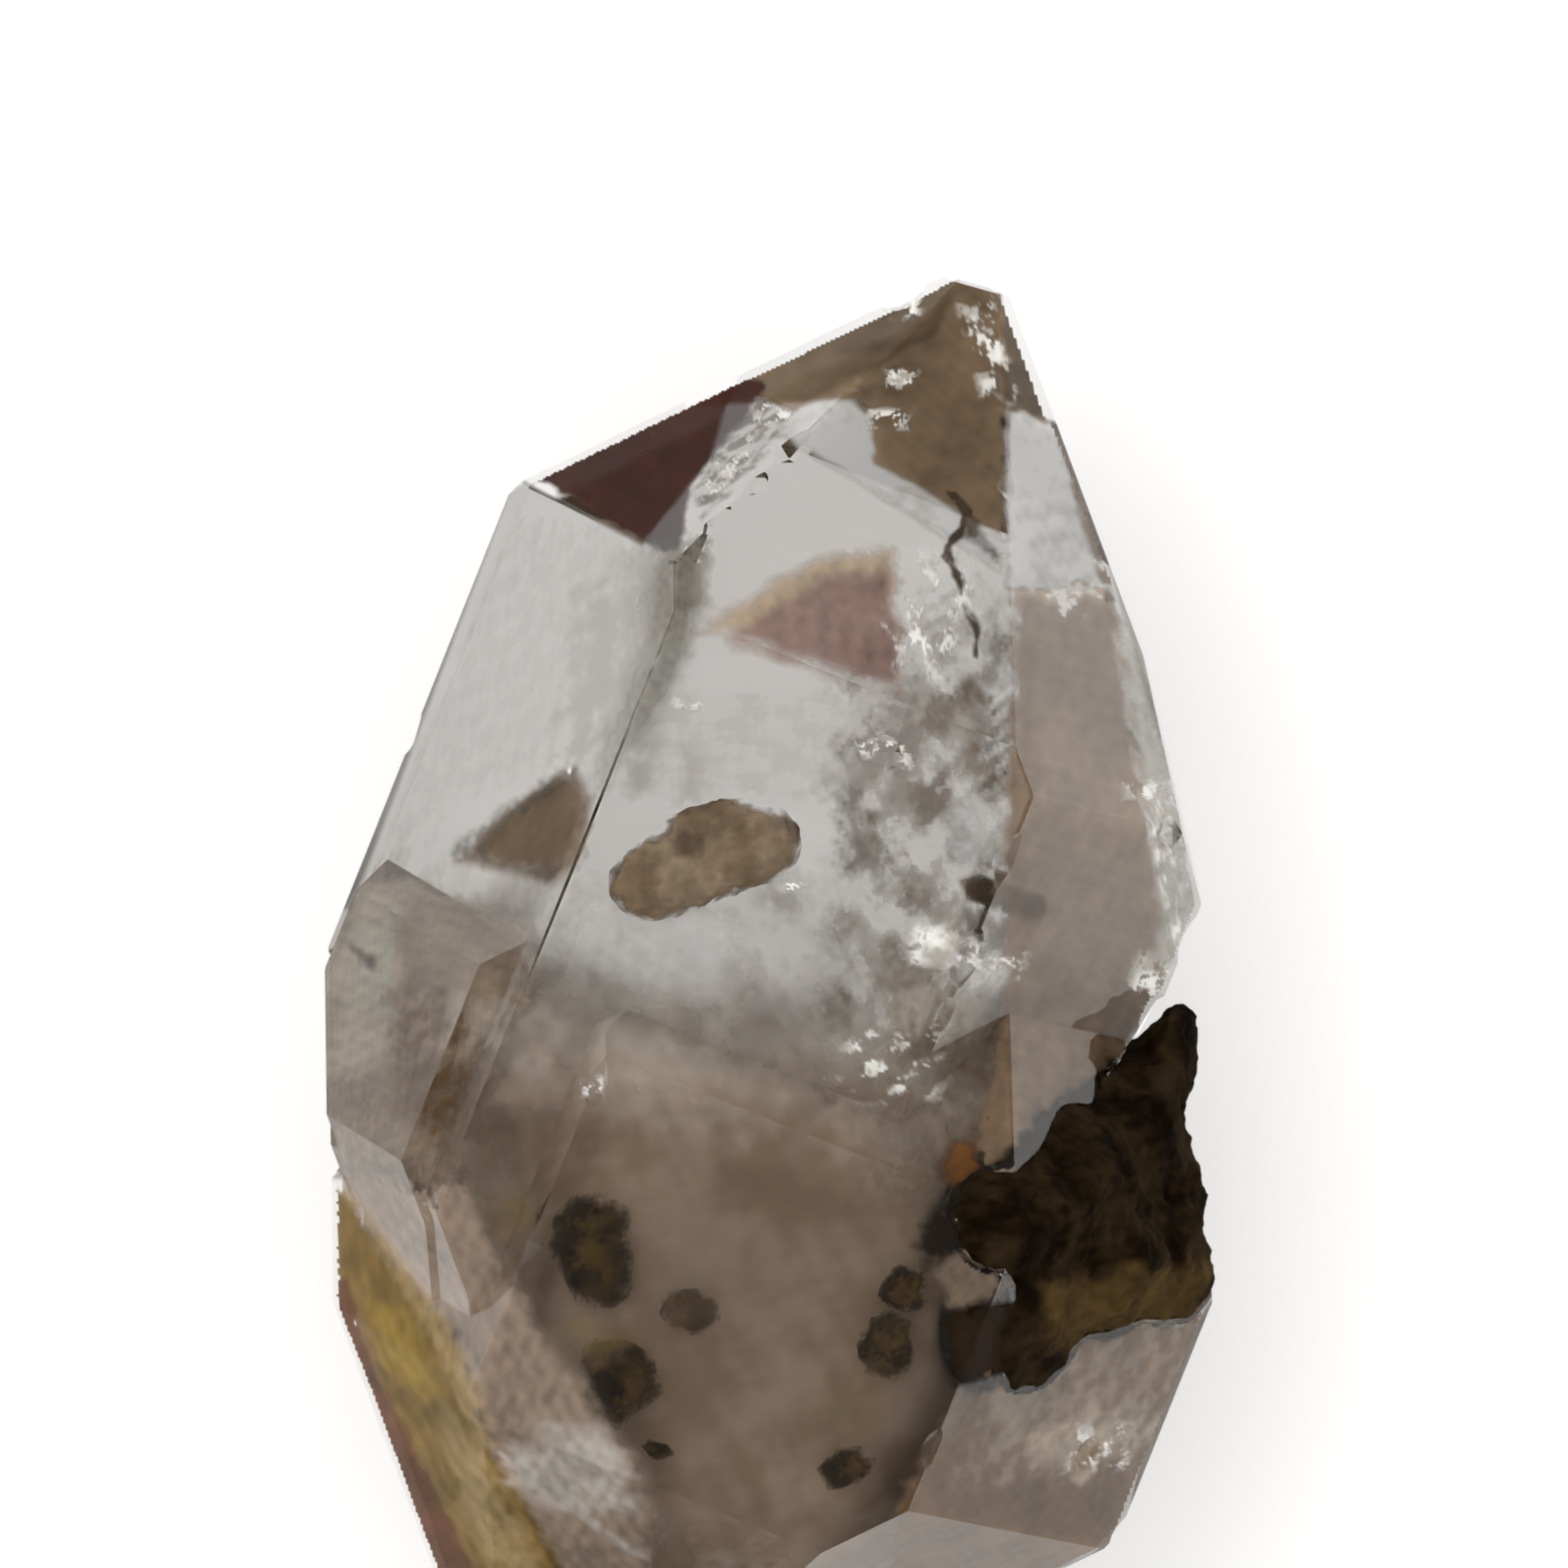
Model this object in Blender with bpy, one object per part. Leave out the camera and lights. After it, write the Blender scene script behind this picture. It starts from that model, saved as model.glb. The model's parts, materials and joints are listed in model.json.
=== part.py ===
"""A doubly terminated quartz crystal of the Herkimer type, lying on its back prism face.

Two individuals of quartz grew together in one orientation: a slim upper one with the whole
upper termination, and a wider lower one with the lower termination. A thin growth step runs
down the left side. They are one solid. A lump of dark rock matter fills the re-entrant notch
between the two individuals on the right.

The crystal's c axis runs along Y, with the upper end towards +Y. Z is up, the back prism
face lies on Z = 0, and the front prism face looks up. Sizes below are in millimetres: x from
the upper individual's axis, y from the lower tip, z from the floor.
"""

import math
from dataclasses import dataclass

import bmesh
import bpy
from mathutils import Matrix, Vector

MM = 0.001

# Quartz angles. Prism faces stand round the c axis, and each carries a termination face.
FACE_STEP = math.radians(60.0)
TERMINATION_TILT = math.radians(38.2)  # from the prism face's normal towards the c axis

# A block large enough to hold any individual before its faces are cut.
BLOCK_SIZE = 120.0

# Wear on the two tips: a small cap with a ring of facets round it.
WORN_FACET_TILT = math.radians(33.0)  # from the c axis outwards

# The dark lump sits in the crystal with this gap all round.
SEAT_GAP = 0.34
LUMP_VOXEL = 0.50
LUMP_ROUGHNESS = 0.70
LUMP_GRAIN = 1.5

# Each chip is struck by a ball of flat facets, turned a little further than the last one.
CHIP_FACETS = 2
CHIP_TURN = (0.3, 0.5, 0.8)
LUMP_SUBDIVISIONS = 3


@dataclass(frozen=True)
class Individual:
    """One quartz individual: six prism faces and six termination faces at each end.

    The tuples go round the c axis in steps of 60 degrees: front, right front, right back,
    back, left back, left front. Prism holds the faces' distances from the axis. Upper and
    lower hold the height along the crystal at which each prism face meets its termination.
    """

    name: str
    axis_x: float
    axis_z: float
    prism: tuple
    upper: tuple
    lower: tuple


@dataclass(frozen=True)
class ExtraFace:
    """A face of another form than prism or termination: a point on it and its normal."""

    point: tuple
    normal: tuple


@dataclass(frozen=True)
class WornTip:
    """A blunted tip: where it is, which way it points along Y and how wide its cap is."""

    centre: tuple
    points: int
    cap_radius: float
    cap_lean: float


@dataclass(frozen=True)
class Chip:
    """A shallow shell-shaped chip: a point on an edge or face, the way it was struck from,
    the radius of the shell's curve and how deep it goes."""

    point: tuple
    struck_from: tuple
    radius: float
    depth: float


@dataclass(frozen=True)
class Ellipsoid:
    """A rounded shape given by its centre and its three half sizes."""

    centre: tuple
    half_size: tuple


UPPER = Individual(
    name="crystal",
    axis_x=0.0,
    axis_z=8.79,
    prism=(8.79, 8.79, 8.79, 8.79, 8.79, 8.79),
    upper=(30.32, 29.35, 28.59, 30.78, 30.86, 31.37),
    lower=(12.24, 12.24, 14.79, 12.24, 18.36, 14.03),
)
LOWER = Individual(
    name="lower_individual",
    axis_x=3.15,
    axis_z=9.18,
    prism=(9.31, 9.56, 9.56, 8.82, 9.56, 9.56),
    upper=(19.38, 19.13, 18.36, 21.42, 19.89, 19.89),
    lower=(9.69, 11.48, 11.99, 11.22, 12.95, 10.20),
)
LEFT_STEP = Individual(
    name="left_step",
    axis_x=0.0,
    axis_z=8.79,
    prism=(8.15, 7.00, 7.00, 7.50, 7.77, 9.55),
    upper=(21.42, 21.40, 21.40, 21.40, 21.42, 20.15),
    lower=(13.50, 13.50, 13.50, 13.50, 17.98, 14.79),
)

# A narrow steep face softens the upper individual's right shoulder.
RIGHT_SHOULDER = ExtraFace(point=(8.40, 30.22, 8.79), normal=(0.82, 0.57, 0.0))

UPPER_TIP = WornTip(centre=(-0.95, 40.26, 9.05), points=1, cap_radius=0.85, cap_lean=-0.10)
LOWER_TIP = WornTip(centre=(3.70, 0.25, 9.60), points=-1, cap_radius=0.70, cap_lean=0.06)

# Ways that chips were struck from, by the edge or face that carries them.
OFF_LEFT_SLOPE_EDGE = (-0.37, 0.67, 0.64)
OFF_RIGHT_SLOPE_EDGE = (0.37, 0.67, 0.64)
OFF_RIGHT_FRONT_EDGE = (0.50, 0.0, 0.87)
OFF_LEFT_FRONT_EDGE = (-0.50, 0.0, 0.87)
OFF_RIGHT_OUTLINE = (1.0, 0.1, 0.0)
OFF_LEFT_OUTLINE = (-1.0, -0.1, 0.1)
OFF_FRONT = (0.10, 0.05, 1.0)

CHIPS = (
    Chip((-3.83, 35.14, 14.00), OFF_LEFT_SLOPE_EDGE, 1.25, 0.42),
    Chip((-4.35, 33.95, 14.92), OFF_LEFT_SLOPE_EDGE, 0.90, 0.30),
    Chip((-4.85, 32.75, 15.85), OFF_LEFT_SLOPE_EDGE, 1.30, 0.28),
    Chip((-2.86, 37.10, 12.45), OFF_LEFT_SLOPE_EDGE, 0.85, 0.24),
    Chip((0.55, 38.35, 11.30), OFF_RIGHT_SLOPE_EDGE, 1.20, 0.26),
    Chip((1.60, 36.10, 13.00), OFF_RIGHT_SLOPE_EDGE, 0.90, 0.18),
    Chip((-2.60, 39.20, 9.00), (-0.70, 0.70, 0.10), 0.80, 0.22),
    Chip((1.15, 28.95, 17.58), OFF_FRONT, 0.70, 0.20),
    Chip((5.08, 27.60, 17.58), OFF_RIGHT_FRONT_EDGE, 1.60, 0.26),
    Chip((5.08, 24.95, 17.58), OFF_RIGHT_FRONT_EDGE, 1.25, 0.40),
    Chip((5.08, 23.40, 17.58), OFF_RIGHT_FRONT_EDGE, 0.80, 0.22),
    Chip((5.08, 21.60, 17.58), OFF_RIGHT_FRONT_EDGE, 1.40, 0.30),
    Chip((8.60, 29.20, 11.20), (0.75, 0.30, 0.55), 0.70, 0.20),
    Chip((10.15, 26.60, 8.79), OFF_RIGHT_OUTLINE, 1.30, 0.22),
    Chip((-2.52, 18.60, 18.49), OFF_LEFT_FRONT_EDGE, 1.00, 0.24),
    Chip((-2.52, 14.20, 18.49), OFF_LEFT_FRONT_EDGE, 1.60, 0.20),
    Chip((8.82, 13.20, 18.49), OFF_RIGHT_FRONT_EDGE, 1.10, 0.22),
    Chip((12.60, 13.80, 11.90), (0.86, 0.0, 0.50), 0.80, 0.22),
    Chip((14.19, 11.60, 9.18), OFF_RIGHT_OUTLINE, 1.50, 0.25),
    Chip((-10.15, 24.30, 8.79), OFF_LEFT_OUTLINE, 1.40, 0.16),
    Chip((-9.60, 17.80, 9.60), OFF_LEFT_OUTLINE, 1.10, 0.26),
    Chip((-7.89, 13.60, 9.20), OFF_LEFT_OUTLINE, 1.20, 0.22),
    Chip((-6.10, 9.60, 9.20), (-0.70, -0.70, 0.0), 1.40, 0.24),
)

# The dark lump, as rounded masses that run from the right outline in to the front face.
LUMP_MASSES = (
    Ellipsoid((10.72, 24.53, 8.93), (0.66, 0.80, 1.50)),
    Ellipsoid((10.85, 23.05, 8.95), (0.97, 1.05, 2.20)),
    Ellipsoid((10.45, 21.63, 9.80), (1.53, 1.53, 2.80)),
    Ellipsoid((9.66, 20.26, 13.60), (1.68, 1.68, 2.80)),
    Ellipsoid((11.86, 20.15, 9.05), (1.50, 1.50, 2.35)),
    Ellipsoid((10.98, 18.74, 12.60), (1.80, 1.75, 2.60)),
    Ellipsoid((12.66, 18.79, 10.10), (1.15, 1.15, 2.00)),
    Ellipsoid((9.05, 19.33, 16.25), (1.30, 1.30, 1.90)),
    Ellipsoid((8.35, 18.99, 17.30), (1.33, 1.10, 1.45)),
    Ellipsoid((9.60, 16.74, 15.05), (1.48, 1.55, 2.35)),
)

QUARTZ_COLOUR = (0.80, 0.79, 0.77, 1.0)
MATRIX_COLOUR = (0.045, 0.030, 0.020, 1.0)


def clear_scene():
    """Removes whatever objects the file holds."""
    for old in list(bpy.data.objects):
        bpy.data.objects.remove(old, do_unlink=True)


def material(name, colour, roughness, transmission=0.0):
    """A Principled material with a plain colour."""
    made = bpy.data.materials.new(name)
    made.use_nodes = True
    shader = made.node_tree.nodes["Principled BSDF"]
    shader.inputs["Base Color"].default_value = colour
    shader.inputs["Roughness"].default_value = roughness
    shader.inputs["Metallic"].default_value = 0.0
    shader.inputs["Transmission Weight"].default_value = transmission
    return made


def new_object(name, bm):
    """An object with the bmesh's faces, in the scene."""
    bmesh.ops.recalc_face_normals(bm, faces=bm.faces)
    mesh = bpy.data.meshes.new(name)
    bm.to_mesh(mesh)
    bm.free()
    made = bpy.data.objects.new(name, mesh)
    bpy.context.scene.collection.objects.link(made)
    return made


def outward(step):
    """The direction of the prism face at a step round the c axis, the front one being 0."""
    angle = step * FACE_STEP
    return Vector((math.sin(angle), 0.0, math.cos(angle)))


def faces_of(individual):
    """Every face of an individual, as a point on it and its outward normal."""
    axis = Vector((individual.axis_x, 0.0, individual.axis_z))
    found = []
    for step in range(6):
        side = outward(step)
        distance = individual.prism[step]
        found.append((axis + side * distance, side))
        for height, along in ((individual.upper[step], 1.0), (individual.lower[step], -1.0)):
            normal = side * math.cos(TERMINATION_TILT)
            normal.y = along * math.sin(TERMINATION_TILT)
            found.append((axis + side * distance + Vector((0.0, height, 0.0)), normal))
    return found


def wear_of(tip):
    """The cap and the ring of facets that blunt a tip, as points and outward normals."""
    centre = Vector(tip.centre)
    cap = Vector((tip.cap_lean, float(tip.points), 0.0)).normalized()
    found = [(centre, cap)]
    for step in range(6):
        side = outward(step + 0.5)
        normal = side * math.sin(WORN_FACET_TILT)
        normal.y = tip.points * math.cos(WORN_FACET_TILT)
        found.append((centre + side * tip.cap_radius, normal))
    return found


def convex_solid(name, faces):
    """A block cut by each face's plane in turn, which leaves the solid behind all of them."""
    bm = bmesh.new()
    bmesh.ops.create_cube(bm, size=BLOCK_SIZE * MM)
    for point, normal in faces:
        everything = bm.verts[:] + bm.edges[:] + bm.faces[:]
        cut = bmesh.ops.bisect_plane(
            bm, geom=everything, plane_co=point * MM, plane_no=normal, clear_outer=True, dist=1e-8
        )
        rim = [part for part in cut["geom_cut"] if isinstance(part, bmesh.types.BMEdge)]
        if rim:
            bmesh.ops.contextual_create(bm, geom=rim)
    bmesh.ops.remove_doubles(bm, verts=bm.verts, dist=1e-7)
    return new_object(name, bm)


def chip_shells(name, chips):
    """One object with a ball for each chip, sunk into the crystal by the chip's depth."""
    bm = bmesh.new()
    for turn, chip in enumerate(chips):
        ball = bmesh.ops.create_icosphere(bm, subdivisions=CHIP_FACETS, radius=chip.radius * MM)
        verts = ball["verts"]
        bmesh.ops.rotate(bm, cent=(0, 0, 0), matrix=Matrix.Rotation(turn, 3, CHIP_TURN), verts=verts)
        out = Vector(chip.struck_from).normalized() * (chip.radius - chip.depth)
        bmesh.ops.translate(bm, vec=(Vector(chip.point) + out) * MM, verts=verts)
    return new_object(name, bm)


def ellipsoids(name, shapes):
    """One object with a rounded body for each shape."""
    bm = bmesh.new()
    for shape in shapes:
        ball = bmesh.ops.create_icosphere(bm, subdivisions=LUMP_SUBDIVISIONS, radius=1.0)["verts"]
        bmesh.ops.scale(bm, vec=Vector(shape.half_size) * MM, verts=ball)
        bmesh.ops.translate(bm, vec=Vector(shape.centre) * MM, verts=ball)
    return new_object(name, bm)


def as_tool(shape):
    """Marks an object as a tool for a Boolean, which is no piece of the model."""
    shape.hide_render = True
    shape.display_type = "WIRE"
    return shape


def combine(target, tool, operation):
    """Adds a Boolean with the tool to the target."""
    step = target.modifiers.new(tool.name, "BOOLEAN")
    step.operation = operation
    step.solver = "EXACT"
    step.object = as_tool(tool)


def push_out(shape, distance, texture=None):
    """Moves a surface outwards, evenly or by a texture's brightness about its middle."""
    step = shape.modifiers.new("push_out", "DISPLACE")
    step.strength = distance * MM
    step.mid_level = 0.0
    if texture:
        step.texture = texture
        step.texture_coords = "GLOBAL"
        step.mid_level = 0.5


def merge_skin(shape):
    """Rebuilds an object's surface as one even skin round all its bodies."""
    skin = shape.modifiers.new("skin", "REMESH")
    skin.mode = "VOXEL"
    skin.voxel_size = LUMP_VOXEL * MM


def lump(name, gap=0.0):
    """The dark lump: rounded masses merged into one skin, then roughened and grown by the gap."""
    shape = ellipsoids(name, LUMP_MASSES)
    merge_skin(shape)
    grain = bpy.data.textures.new("grain", "CLOUDS")
    grain.noise_scale = LUMP_GRAIN * MM
    push_out(shape, LUMP_ROUGHNESS, grain)
    push_out(shape, gap)
    merge_skin(shape)
    return shape


def build_crystal():
    """The clear crystal: the individuals joined, the tips worn, the edges chipped."""
    shoulder = (Vector(RIGHT_SHOULDER.point), Vector(RIGHT_SHOULDER.normal).normalized())
    crystal = convex_solid(UPPER.name, faces_of(UPPER) + [shoulder] + wear_of(UPPER_TIP))
    lower = convex_solid(LOWER.name, faces_of(LOWER) + wear_of(LOWER_TIP))
    combine(crystal, lower, "UNION")
    combine(crystal, convex_solid(LEFT_STEP.name, faces_of(LEFT_STEP)), "UNION")
    combine(crystal, lump("seat", gap=SEAT_GAP), "DIFFERENCE")
    # Neighbouring chips cross, so every second one is struck first and the rest after them.
    combine(crystal, chip_shells("first_chips", CHIPS[0::2]), "DIFFERENCE")
    combine(crystal, chip_shells("later_chips", CHIPS[1::2]), "DIFFERENCE")
    crystal.data.materials.append(material("quartz", QUARTZ_COLOUR, 0.03, transmission=1.0))
    return crystal


def build_dark_matrix():
    """The lump of dark rock matter in the notch on the right."""
    matrix = lump("dark_matrix")
    matrix.data.materials.append(material("matrix", MATRIX_COLOUR, 0.75))
    return matrix


def stand_on_origin(pieces):
    """Moves everything so that the origin is under the middle of the whole, on the floor."""
    bpy.context.view_layer.update()
    graph = bpy.context.evaluated_depsgraph_get()
    corners = []
    for piece in pieces:
        mesh = piece.evaluated_get(graph).to_mesh()
        corners += [piece.matrix_world @ vertex.co for vertex in mesh.vertices]
    low = Vector([min(corner[axis] for corner in corners) for axis in range(3)])
    high = Vector([max(corner[axis] for corner in corners) for axis in range(3)])
    shift = Vector((-(low.x + high.x) / 2.0, -(low.y + high.y) / 2.0, -low.z))
    for part in bpy.data.objects:
        part.location += shift


def main():
    """Builds the crystal and the dark lump in its notch."""
    clear_scene()
    pieces = [build_crystal(), build_dark_matrix()]
    stand_on_origin(pieces)


main()
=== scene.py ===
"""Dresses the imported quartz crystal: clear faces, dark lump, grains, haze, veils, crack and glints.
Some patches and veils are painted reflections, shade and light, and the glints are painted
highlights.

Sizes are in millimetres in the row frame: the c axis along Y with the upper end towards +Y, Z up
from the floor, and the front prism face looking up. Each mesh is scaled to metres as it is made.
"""

import json
import logging
import math
from dataclasses import dataclass
from enum import Enum
from typing import Union

import bmesh
import bpy
import numpy as np
from mathutils import Matrix, Vector

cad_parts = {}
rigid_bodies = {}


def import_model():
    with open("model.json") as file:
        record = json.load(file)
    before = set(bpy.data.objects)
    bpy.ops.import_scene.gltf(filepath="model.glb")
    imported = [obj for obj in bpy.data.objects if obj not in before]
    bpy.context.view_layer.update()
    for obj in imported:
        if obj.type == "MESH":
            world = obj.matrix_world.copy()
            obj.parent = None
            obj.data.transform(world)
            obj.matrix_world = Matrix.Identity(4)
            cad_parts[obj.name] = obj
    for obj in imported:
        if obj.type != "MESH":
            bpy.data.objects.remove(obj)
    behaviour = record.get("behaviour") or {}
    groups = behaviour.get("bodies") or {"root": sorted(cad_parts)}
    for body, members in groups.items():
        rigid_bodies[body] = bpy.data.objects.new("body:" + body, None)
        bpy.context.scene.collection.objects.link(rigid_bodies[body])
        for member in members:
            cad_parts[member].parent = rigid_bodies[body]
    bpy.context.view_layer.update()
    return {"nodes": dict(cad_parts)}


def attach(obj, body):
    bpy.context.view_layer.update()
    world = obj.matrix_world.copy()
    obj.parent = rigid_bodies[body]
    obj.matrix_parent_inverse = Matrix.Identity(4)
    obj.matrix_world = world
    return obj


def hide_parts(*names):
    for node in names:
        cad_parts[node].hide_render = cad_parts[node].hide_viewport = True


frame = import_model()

logging.basicConfig(level=logging.INFO, format="%(name)s: %(message)s")
log = logging.getLogger("herkimer")

MM = 0.001
ROOT = "root"
PAINT = "milk"
DATUM = np.array([-2.0196, -20.2761, 0.0])  # the upper individual's axis and the lower tip's foot
WAVES = 8  # sine waves in each octave of a ripple
FALL = 0.55  # height of each octave against the one before it
PRESS_MM = 0.03  # how deep under the faces a sheet is pressed back

Colour = tuple[float, float, float]
Corners = tuple[tuple[float, float], ...]
Values = Union[np.ndarray, float]
Socket = bpy.types.NodeSocket
Feed = Union[Socket, float, tuple]


class Slot(Enum):
    """The record's material slots."""

    QUARTZ = "quartz"
    MATRIX = "matrix"


class Face(Enum):
    """The six prism faces round the c axis, by their turn from the front in degrees."""

    FRONT = 0
    RIGHT_FRONT = 60
    RIGHT_BACK = 120
    BACK = 180
    LEFT_BACK = 240
    LEFT_FRONT = 300


# ---- geometry helpers


def smooth(value: np.ndarray, low: float, high: float) -> np.ndarray:
    """Rises smoothly from 0, where value is low, to 1: 3 t squared less 2 t cubed."""
    t = np.clip((value - low) / (high - low), 0.0, 1.0)
    return t * t * (3.0 - 2.0 * t)


def ripple(points: np.ndarray, wavelength: float, seed: int, octaves: int = 3) -> np.ndarray:
    """A smooth lumpy field between about -1 and 1.

    Each octave adds sine waves that run in seeded directions, with half the wavelength of the one
    before and a smaller height.

    Args:
        points: places in millimetres, with x, y and z on the last axis.
        wavelength: the longest wave, in millimetres.
        seed: picks the directions and the starts of the waves.
        octaves: how many sizes of wave.

    Returns:
        One value a point.
    """
    draw = np.random.default_rng(seed)
    total, height, reach = np.zeros(points.shape[:-1]), 1.0, 0.0
    for octave in range(octaves):
        ways = draw.normal(size=(WAVES, 3))
        pace = 2.0 * np.pi * 2.0**octave / wavelength
        ways *= pace / np.linalg.norm(ways, axis=1, keepdims=True)
        starts = draw.uniform(0.0, 2.0 * np.pi, WAVES)
        total += height * np.sin(points @ ways.T + starts).mean(axis=-1) * 2.0
        reach += height
        height *= FALL
    return total / reach


@dataclass(frozen=True)
class Growth:
    """One quartz individual, as the CAD part has it: face distances, and where its ends begin."""

    axis_x: float
    axis_z: float
    prism: tuple[float, ...]
    upper: tuple[float, ...]
    lower: tuple[float, ...]
    tilt: float = math.radians(38.2)

    def planes(self) -> tuple[np.ndarray, np.ndarray]:
        """Works out its eighteen faces.

        Returns:
            Outward normals, and each plane's distance from the row frame's origin along its normal.
        """
        turn = np.radians([face.value for face in Face])
        side = np.stack([np.sin(turn), np.zeros(6), np.cos(turn)], axis=1)
        axis = DATUM + np.array([self.axis_x, 0.0, self.axis_z])
        foot = axis + side * np.array(self.prism)[:, None]
        along = np.array([0.0, 1.0, 0.0])
        normals, points = [side], [foot]
        for heights, way in ((self.upper, 1.0), (self.lower, -1.0)):
            normals.append(side * math.cos(self.tilt) + along * way * math.sin(self.tilt))
            points.append(foot + along * np.array(heights)[:, None])
        normals, points = np.concatenate(normals), np.concatenate(points)
        return normals, (normals * points).sum(axis=1)

    def depth(self, points: np.ndarray) -> np.ndarray:
        """How far each point lies inside the nearest face's plane; negative outside."""
        normals, reach = self.planes()
        return (reach - points @ normals.T).min(axis=-1)

    def span(self, start: np.ndarray, way: np.ndarray, rounding: float) -> np.ndarray:
        """Distance from start to the faces along way, with the edges rounded by a power mean.

        Faces that look away, and points outside a face, count as just short of level with it.

        Args:
            start: points inside, in millimetres.
            way: unit directions, one a point.
            rounding: the power; a large one keeps the edges sharp.

        Returns:
            One distance a point.
        """
        normals, reach = self.planes()
        least_facing, least_gap = 1e-6, 1e-3
        facing = np.clip(way @ normals.T, least_facing, None)
        near = facing / np.clip(reach - start @ normals.T, least_gap, None)
        return (near**rounding).sum(axis=-1) ** (-1.0 / rounding)


UPPER = Growth(
    0.0, 8.79, (8.79,) * 6,
    (30.32, 29.35, 28.59, 30.78, 30.86, 31.37), (12.24, 12.24, 14.79, 12.24, 18.36, 14.03),
)
LOWER = Growth(
    3.15, 9.18, (9.31, 9.56, 9.56, 8.82, 9.56, 9.56),
    (19.38, 19.13, 18.36, 21.42, 19.89, 19.89), (9.69, 11.48, 11.99, 11.22, 12.95, 10.20),
)


def inside(points: np.ndarray) -> np.ndarray:
    """How far each point lies inside the crystal, taking the deeper of the two individuals."""
    return np.maximum(UPPER.depth(points), LOWER.depth(points))


@dataclass(frozen=True)
class Picture:
    """How the square reference picture lies over the crystal, seen along the camera's axis."""

    side_px: float = 1570.0
    mm_per_px: float = 0.0255
    turn: float = math.radians(21.8)
    lean: float = math.radians(4.6)
    axis_px: float = 1055.0
    tip_px: float = 1480.0
    level_px: float = 345.0
    distance_mm: float = 600.0
    sensor_mm: float = 36.0
    clip_m: tuple[float, float] = (0.01, 10.0)

    def place(self, across: Values, down: Values, height: Values) -> np.ndarray:
        """Finds the point that the picture shows at a pixel, at a known height over the floor.

        The pixel is turned back by the crystal's turn in the picture, then the lean is taken off.

        Args:
            across: pixels from the picture's left side.
            down: pixels from its top.
            height: millimetres over the floor.

        Returns:
            Row frame points in millimetres.
        """
        across, down, height = np.broadcast_arrays(np.asarray(across, float), down, height)
        cos, sin = math.cos(self.turn), math.sin(self.turn)
        u = cos * across + sin * down
        m = cos * down - sin * across
        m = m - (height / self.mm_per_px - self.level_px) * math.tan(self.lean)
        x = (u - self.axis_px) * self.mm_per_px
        y = (self.tip_px - m) * self.mm_per_px
        return np.stack([x, y, height], axis=-1) + DATUM

    def rows(self) -> tuple[np.ndarray, np.ndarray]:
        """The rule from a row frame point in metres to picture pixels.

        Returns:
            A 2 by 3 matrix and the two constants that are added.
        """
        cos, sin, lean = math.cos(self.turn), math.sin(self.turn), math.tan(self.lean)
        scale = 1.0 / (self.mm_per_px * MM)
        u_row, u_0 = np.array([scale, 0.0, 0.0]), self.axis_px - DATUM[0] / self.mm_per_px
        m_row = np.array([0.0, -scale, lean * scale])
        m_0 = self.tip_px + DATUM[1] / self.mm_per_px - self.level_px * lean
        matrix = np.stack([cos * u_row - sin * m_row, sin * u_row + cos * m_row])
        return matrix, np.array([cos * u_0 - sin * m_0, sin * u_0 + cos * m_0])

    def pixels(self, points: np.ndarray) -> tuple[np.ndarray, np.ndarray]:
        """Returns how far across and down the picture shows each point, in pixels."""
        matrix, constant = self.rows()
        spot = (points * MM) @ matrix.T + constant
        return spot[..., 0], spot[..., 1]

    def axes(self) -> Matrix:
        """Returns the camera's right, up and back directions as the columns of a matrix."""
        back = Vector((0.0, math.sin(self.lean), math.cos(self.lean)))
        along = Vector((0.0, math.cos(self.lean), -math.sin(self.lean)))
        across = Vector((1.0, 0.0, 0.0))
        right = math.cos(self.turn) * across + math.sin(self.turn) * along
        up = math.cos(self.turn) * along - math.sin(self.turn) * across
        return Matrix((right, up, back)).transposed()

    def camera(self) -> bpy.types.Object:
        """Makes the camera at the picture's viewing angle and returns it."""
        data = bpy.data.cameras.new("camera")
        data.sensor_width = self.sensor_mm
        data.lens = self.sensor_mm * self.distance_mm / (self.side_px * self.mm_per_px)
        data.clip_start, data.clip_end = self.clip_m
        camera = bpy.data.objects.new("camera", data)
        bpy.context.scene.collection.objects.link(camera)
        axes = self.axes()
        middle = self.place(self.side_px / 2, self.side_px / 2, self.level_px * self.mm_per_px)
        place = Vector(middle * MM) + axes.col[2] * self.distance_mm * MM
        camera.matrix_world = Matrix.Translation(place) @ axes.to_4x4()
        bpy.context.scene.camera = camera
        return camera


PICTURE = Picture()


# ---- meshes


def wrap(rings: np.ndarray) -> tuple[np.ndarray, list]:
    """Closes a stack of rings into a skin: quads between them, and a fan of triangles on each end.

    Args:
        rings: points by ring, place round the ring, and x, y, z.

    Returns:
        The points with the two poles last, and the faces, which point outwards.
    """
    count, around = rings.shape[:2]
    poles = [rings[:1].mean(axis=1), rings[-1:].mean(axis=1)]
    points = np.concatenate([rings.reshape(-1, 3), *poles])
    ring, place = np.meshgrid(np.arange(count - 1) * around, np.arange(around), indexing="ij")
    after = (place + 1) % around
    quads = [ring + place, ring + after, ring + around + after, ring + around + place]
    quads = np.stack(quads, -1).reshape(-1, 4)
    spot, step, top = place[0], after[0], (count - 1) * around
    first = np.stack([np.full_like(spot, count * around), step, spot], -1)
    last = np.stack([np.full_like(spot, count * around + 1), top + spot, top + step], -1)
    corner = points[quads]
    facing = np.cross(corner[:, 1] - corner[:, 0], corner[:, 3] - corner[:, 0])
    faces = [quads, first, last]
    if ((corner[:, 0] - points.mean(axis=0)) * facing).sum() < 0.0:
        faces = [part[:, ::-1] for part in faces]
    return points, [face for part in faces for face in part.tolist()]


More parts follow.
